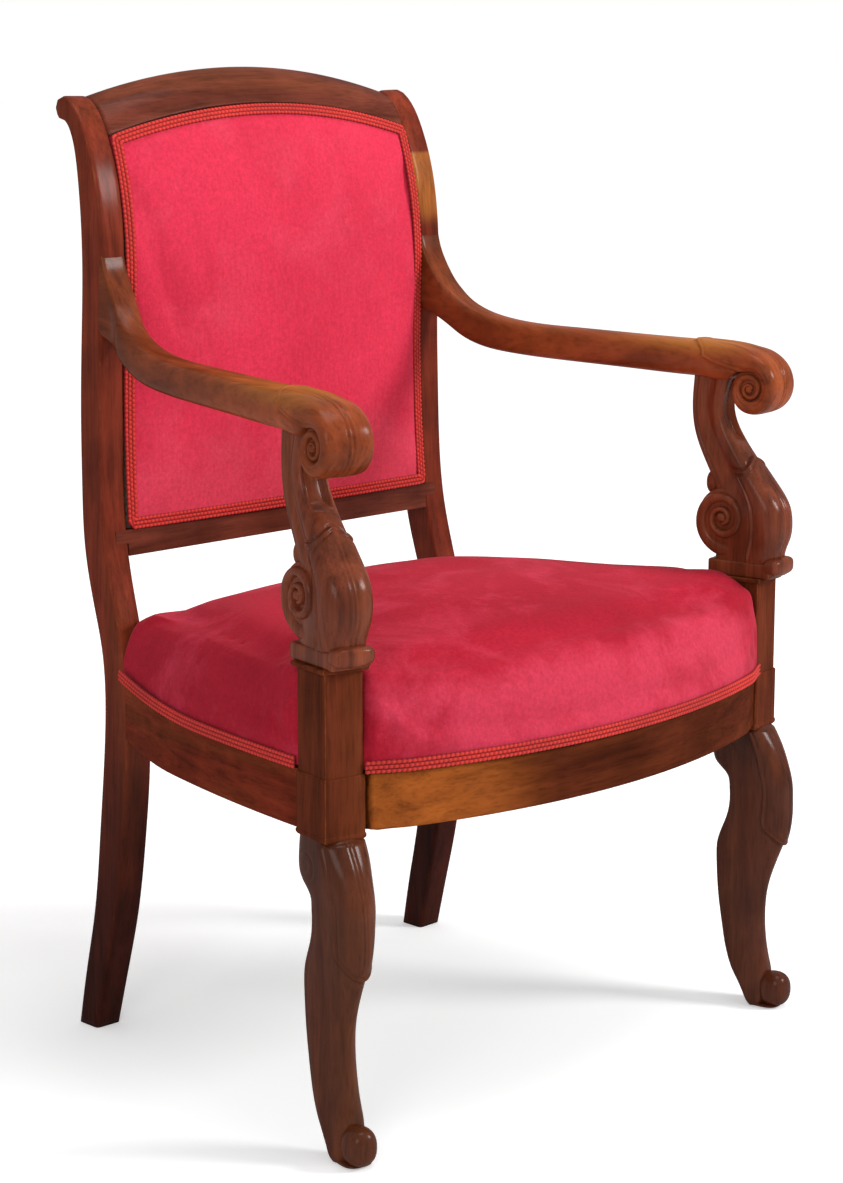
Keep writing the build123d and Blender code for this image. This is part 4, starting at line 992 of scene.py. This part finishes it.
def braidMesh(name, path, across, outward, replaced, closed=False):
    # rows of loops: each row is a half-round cord whose height swings along the path, every other one out of step
    length = lengthAlong(path)
    s = np.linspace(0, length[-1], int(length[-1] / braid["step"]), endpoint=not closed)
    middle, side, up = (np.stack([np.interp(s, length, field[:, k]) for k in range(3)], -1)[:, None, :]
                        for field in (path, across, outward))
    w = np.linspace(-1, 1, braid["across"])[None]
    order = np.minimum(np.floor((w + 1) / 2 * braid["rows"]), braid["rows"] - 1)
    acrossRow = (w + 1) * braid["rows"] - 2 * order - 1
    loop = np.abs(np.sin(pi * (s[:, None] / braid["pitch"] + order / 2)))
    rise = np.sqrt(np.maximum(1 - acrossRow ** 2, 0)) * (1 - braid["swing"] + braid["swing"] * loop)
    high = braid["base"] + braid["height"] * rise
    wide = w * braid["half"] * (1 - braid["scallop"] * (1 - loop) * np.abs(w) ** 6)
    flat = middle + side * wide[..., None]
    grid = np.concatenate((flat + up * high[..., None], (flat - up * braid["sink"])[:, ::-1]), axis=1)
    # the loop height is kept for the painted shade between the loops and the painted highlight on them
    piece = gridMesh(name, grid, closeU=closed, capStart=not closed, capEnd=not closed,
                     wearAndLoopShading=np.concatenate((rise, 0 * rise), axis=1))
    dress(piece, gimp, "braid", *replaced)


def levelBraid(name, line, z, replaced):
    # along a line in plan, standing on its edge
    path = np.column_stack((line, np.broadcast_to(z, len(line))))
    tangent = unit(np.gradient(path, axis=0))
    outward = unit(np.column_stack((tangent[:, 1], -tangent[:, 0], np.zeros(len(line)))))
    outward *= np.sign((outward * (path - path.mean(0) - [0, 0.0001, 0])).sum(1).sum())
    upward = np.cross(outward, tangent)
    upward *= np.sign(upward[:, 2:3])
    braidMesh(name, path, upward, outward, replaced)


def outOfPost(line):
    # keep what lies inside the inner face of the post
    return line[fromPost(np.abs(line[:, 0]), line[:, 1])[1] < -braid["postInner"]]


def behindPost(line):
    # keep what lies between the post and the rear leg
    return line[(fromPost(*line.T)[0] < -braid["postRear"]) & (line[:, 1] < braid["sideEnd"])]


braidZ = chair["gimpLine"] + braid["lift"] + chair["braidHeight"] / 2
levelBraid("seatBraidFront", tucked(outOfPost(frontLine(braid["out"], 600))), braidZ, ("seat_braid_front",))
sideRun = behindPost(sideLine(braid["out"], braid["rearOut"], 600))
climb = sideClimb(*sideRun.T)
levelBraid("seatBraidRight", sideRun, braidZ + climb, ("seat_braid_right",))
levelBraid("seatBraidLeft", sideRun * [-1, 1], braidZ + climb, ("seat_braid_left",))
rearRun = np.linspace((braid["rearHalf"], seat["rearY"] + braid["out"]),
                      (-braid["rearHalf"], seat["rearY"] + braid["out"]), 60)
levelBraid("seatBraidRear", rearRun, braidZ, ("seat_braid_rear",))

back = {
    "bottom": 498.0, "sideTop": 871.0, "waist": 720.0, "half": 198.0, "bulge": 14.0, "outside": 17.8,
    # y of the face at the foot, between foot and waist with its height, likewise above, and at the top
    "footY": 192.6, "footZ": 498.3, "lowMiddle": (198, 600), "highMiddle": (200, 803), "topY": 217.5,
    "waistBack": 1.5, "edgeSwell": 0.25, "topGap": 0.3,
    # braid: over the wood at the sides and the top, off the face before and behind
    "overSide": 0.3, "overTop": 0.7, "offFront": -0.6, "offRear": 2.0,
}


def circleY(z, first, middle, last):
    # y on the circle through three (y, z) points, on the side of the middle one
    a, b, c = (np.stack(np.broadcast_arrays(*p), -1).astype(float) for p in (first, middle, last))
    centre = circleCentre(a, b, c)
    y0, z0 = centre[..., 0], centre[..., 1]
    radius = np.linalg.norm(a - centre, axis=-1)
    return y0 + np.sign(b[..., 0] - y0) * np.sqrt(np.maximum(radius ** 2 - (z - z0) ** 2, 0))


def backFace(x, z, depth, swell):
    # face of a back layer: two arcs that meet at the waist, swelling towards the middle
    out = swell * (1 - (x / back["half"]) ** 2)
    full, slight = depth - out, depth - back["edgeSwell"] * out
    waist = (chair["uprightFront"] - back["waistBack"] + full, back["waist"] + 0 * x)
    lower = circleY(z, (back["footY"] + slight, back["footZ"] + 0 * x),
                    (back["lowMiddle"][0] + full, back["lowMiddle"][1] + 0 * x), waist)
    upper = circleY(z, waist, (back["highMiddle"][0] + full, back["highMiddle"][1] + 0 * x),
                    (back["topY"] + slight, back["sideTop"] - back["topGap"] + crestRise(x)))
    return np.where(z < back["waist"], lower, upper)


def braidFrame(name, depth, swell, way, replaced):
    # a closed loop of braid along the edge of the back, half a braid in from the wood
    inset = braid["half"] - back["overSide"]
    low, high = back["bottom"] + inset, back["sideTop"] + back["overTop"] - inset
    lowX, highX = uprightInner(low) - inset, uprightInner(high) - inset
    t = even(200)
    topX = np.linspace(highX, -highX, 200)
    riseEnd = crestRise(highX)
    x = np.concatenate((np.linspace(-lowX, lowX, 200), lowX + (highX - lowX) * t[1:], topX[1:],
                        -highX + (highX - lowX) * t[1:]))
    z = np.concatenate((np.full(200, low), low + (high + riseEnd - low) * t[1:], high + crestRise(topX)[1:],
                        high + riseEnd + (low - high - riseEnd) * t[1:]))
    path = np.column_stack((x, backFace(x, z, depth, swell), z))
    tangent = unit(np.roll(path, -1, 0) - np.roll(path, 1, 0))
    slope = backFace(x, z + 0.5, depth, swell) - backFace(x, z - 0.5, depth, swell)
    lateral = backFace(x + 0.5, z, depth, swell) - backFace(x - 0.5, z, depth, swell)
    outward = unit(np.column_stack((-lateral, np.ones(len(x)), -slope)) * way)
    across = unit(np.cross(outward, tangent))
    braidMesh(name, path[:-1], across[:-1], outward[:-1], replaced, closed=True)


braidFrame("backBraid", back["offFront"], back["bulge"], -1, ("back_braid",))
braidFrame("outsideBraid", back["outside"] + back["offRear"], 0, 1, ("outside_back_braid",))


def clothSheet(piece, thickness, material, slot, replaced):
    # flat size in metres, area in square metres
    solid = piece.modifiers.new("thickness", "SOLIDIFY")
    solid.thickness = thickness * mm
    solid.offset = 0
    dress(piece, material, slot, *replaced)


outsideBack = {
    "thick": 1.2, "flat": (0.4, 0.41), "area": 0.155, "off": 0.9, "hang": 1.2,
    "sideGap": 0.6, "lowGap": 0.5, "topGap": 1.2,
}
shareX = np.linspace(-1, 1, 61)[None]
shareZ = even(61)[:, None]
lowEdge = back["bottom"] + outsideBack["lowGap"]
sheetZ = lowEdge + shareZ * (back["sideTop"] - outsideBack["topGap"] - lowEdge)
sheetX = shareX * (uprightInner(sheetZ) - outsideBack["sideGap"])
sheetZ = sheetZ + shareZ * crestRise(sheetX)
hang = outsideBack["hang"] * (1 - shareX ** 2) * np.sin(pi * shareZ)
sheetY = backFace(sheetX, sheetZ, back["outside"] + outsideBack["off"], 0) + hang
outsideGrid = np.stack(np.broadcast_arrays(sheetX, sheetY, sheetZ), -1)
clothSheet(gridMesh("outsideBack", outsideGrid, closeV=False), outsideBack["thick"], backVelvet, "velvet",
           ("outside_back_cover",))

dust = {
    "level": 290.0, "sag": 5.0, "edgeLift": 2.0, "inset": -12, "middle": (0.0, -30.0), "frontCut": 6, "sideCut": 8,
    "thick": 0.8, "flat": (0.58, 0.45), "area": 0.22,
}
# the corners are cut off for the legs, by so many points of each line
frontEdge = frontLine(dust["inset"], 90)[dust["frontCut"]:-dust["frontCut"]]
sideEdge = sideLine(dust["inset"], 0, 60)[dust["sideCut"]:-dust["sideCut"]]
ringLine = np.concatenate((frontEdge, sideEdge, sideEdge[::-1] * [-1, 1]))
shareR = np.linspace(0.02, 1, 24)[:, None, None]
dustXY = dust["middle"] + (ringLine[None] - dust["middle"]) * shareR
dustZ = dust["level"] + dust["edgeLift"] * shareR ** 8 - dust["sag"] * (1 - shareR ** 2)
dustGrid = np.concatenate((dustXY, dustZ + 0 * dustXY[..., :1]), -1)
clothSheet(gridMesh("dustSheet", dustGrid, capStart=True), dust["thick"], blackCloth, "canvas", ("dust_cover",))

# front rail: a rounded board carried along the seat's front line, drawn back beside the posts
rail = {"low": 294.5, "high": 345.0, "thick": 22.0, "end": 262.0, "bow": 760.0, "section": (96, 22, 22, 2.3)}
railLine = frontLine(0, 241)
railLine = tucked(railLine[np.abs(railLine[:, 0]) < rail["end"]])
railP, railQ, railArris = sectionRing(*rail["section"])
railBack = (railQ + 1) / 2 * rail["thick"]
railZ = (rail["low"] + rail["high"]) / 2 + railP * (rail["high"] - rail["low"]) / 2
railX = railLine[:, [0]] * (1 - railBack / rail["bow"])
railGrid = np.stack(np.broadcast_arrays(railX, railLine[:, [1]] + railBack, railZ), -1)
railPiece = gridMesh("frontRail", railGrid, capStart=True, capEnd=True,
                     wearAndLoopShading=np.broadcast_to(railArris, railGrid.shape[:2]))
dress(railPiece, railWood, "show_wood", "front_seat_rail")

# pieces that stay as sawn or hidden work
steel, steelTree, steelShader = newMaterial("dullSteel")
setInputs(steelShader, {"Metallic": 1.0, "Roughness": 0.5})
rust = noise(steelTree, objectPlace(steelTree), 60.0, 5.0)
steelTree.links.new(ramp(steelTree, rust, (0.35, (0.32, 0.3, 0.28, 1)), (0.7, (0.2, 0.1, 0.06, 1))),
                    steelShader.inputs["Base Color"])
hidden = {
    sideRailWood: ("side_seat_rail_left", "side_seat_rail_right"),
    crestWood: ("rear_seat_rail", "lower_back_rail"),
    plainWood: ("corner_blocks", "arm_dowels", "console_dowels"),
    jute: ("seat_webbing_long", "seat_webbing_cross", "back_webbing_upright", "back_webbing_cross"),
    hessian: ("spring_canvas", "back_canvas"),
    steel: ("seat_springs", "block_screws"),
}
for material, names in hidden.items():
    for name in names:
        nodes[name].data.materials.clear()
        nodes[name].data.materials.append(material)
print("upholstery done")


# studio

studio = {
    "floorHalf": 30, "light": 0.45, "nearLift": 0.36, "farLift": 0.7, "nearAt": 0.3, "farAt": 2.2,
    # place, aim, size, power
    "lamps": {"keyLight": ((1.75, -2.2, 1.9), (0, 0, 0.5), 0.85, 60),
              "fillLight": ((-2.2, -1.4, 1.5), (0, 0, 0.5), 1.2, 17),
              "topLight": ((0.3, -0.4, 3.0), (0, 0, 0.4), 1.6, 30)},
    "lens": 84.41, "sensor": 36, "eye": (-1.8425, -1.8670, 0.9642), "tilt": 78.637, "pan": -44.696,
}


def seenDirectly(tree):
    # 1 where the eye, a gloss or a clear surface meets it, 0 where it only lights the object
    rays = node(tree, "ShaderNodeLightPath").outputs
    seen = calc(tree, "MAXIMUM", rays["Is Camera Ray"], rays["Is Glossy Ray"])
    return calc(tree, "MAXIMUM", seen, rays["Is Transmission Ray"])


half = studio["floorHalf"]
floorMesh = bpy.data.meshes.new("floor")
floorMesh.from_pydata([(-half, -half, 0), (half, -half, 0), (half, half, 0), (-half, half, 0)], [], [(0, 1, 2, 3)])
floor = addObject("floor", floorMesh)
floorMaterial, floorTree, floorShader = newMaterial("paleFloor")
setInputs(floorShader, {"Base Color": (0.86, 0.86, 0.86, 1), "Roughness": 0.9, "Specular IOR Level": 0.0,
                        "Emission Color": (1, 1, 1, 1)})
away = node(floorTree, "ShaderNodeVectorMath", operation="LENGTH")
floorTree.links.new(objectPlace(floorTree), away.inputs[0])
lift = rescale(floorTree, away.outputs["Value"], studio["nearAt"], studio["farAt"], studio["nearLift"],
               studio["farLift"])
floorTree.links.new(calc(floorTree, "MULTIPLY", seenDirectly(floorTree), lift),
                    floorShader.inputs["Emission Strength"])
floorMesh.materials.append(floorMaterial)

world = bpy.data.worlds.new("studio")
bpy.context.scene.world = world
world.use_nodes = True
skyTree = world.node_tree
sky = skyTree.nodes["Background"]
sky.inputs["Color"].default_value = (1, 1, 1, 1)
lift = calc(skyTree, "MULTIPLY", seenDirectly(skyTree), 1 - studio["light"])
skyTree.links.new(calc(skyTree, "ADD", lift, studio["light"]), sky.inputs["Strength"])

for name, (place, aim, size, power) in studio["lamps"].items():
    lamp = bpy.data.lights.new(name, "AREA")
    lamp.shape = "DISK"
    lamp.size = size
    lamp.energy = power
    holder = addObject(name, lamp)
    holder.location = place
    holder.rotation_euler = (Vector(aim) - Vector(place)).to_track_quat("-Z", "Y").to_euler()

camera = bpy.data.cameras.new("camera")
camera.lens = studio["lens"]
camera.sensor_width = studio["sensor"]
viewer = addObject("camera", camera)
viewer.location = studio["eye"]
viewer.rotation_euler = (radians(studio["tilt"]), 0, radians(studio["pan"]))
bpy.context.scene.camera = viewer
bpy.context.scene.view_settings.view_transform = "Standard"

print("scene finished")
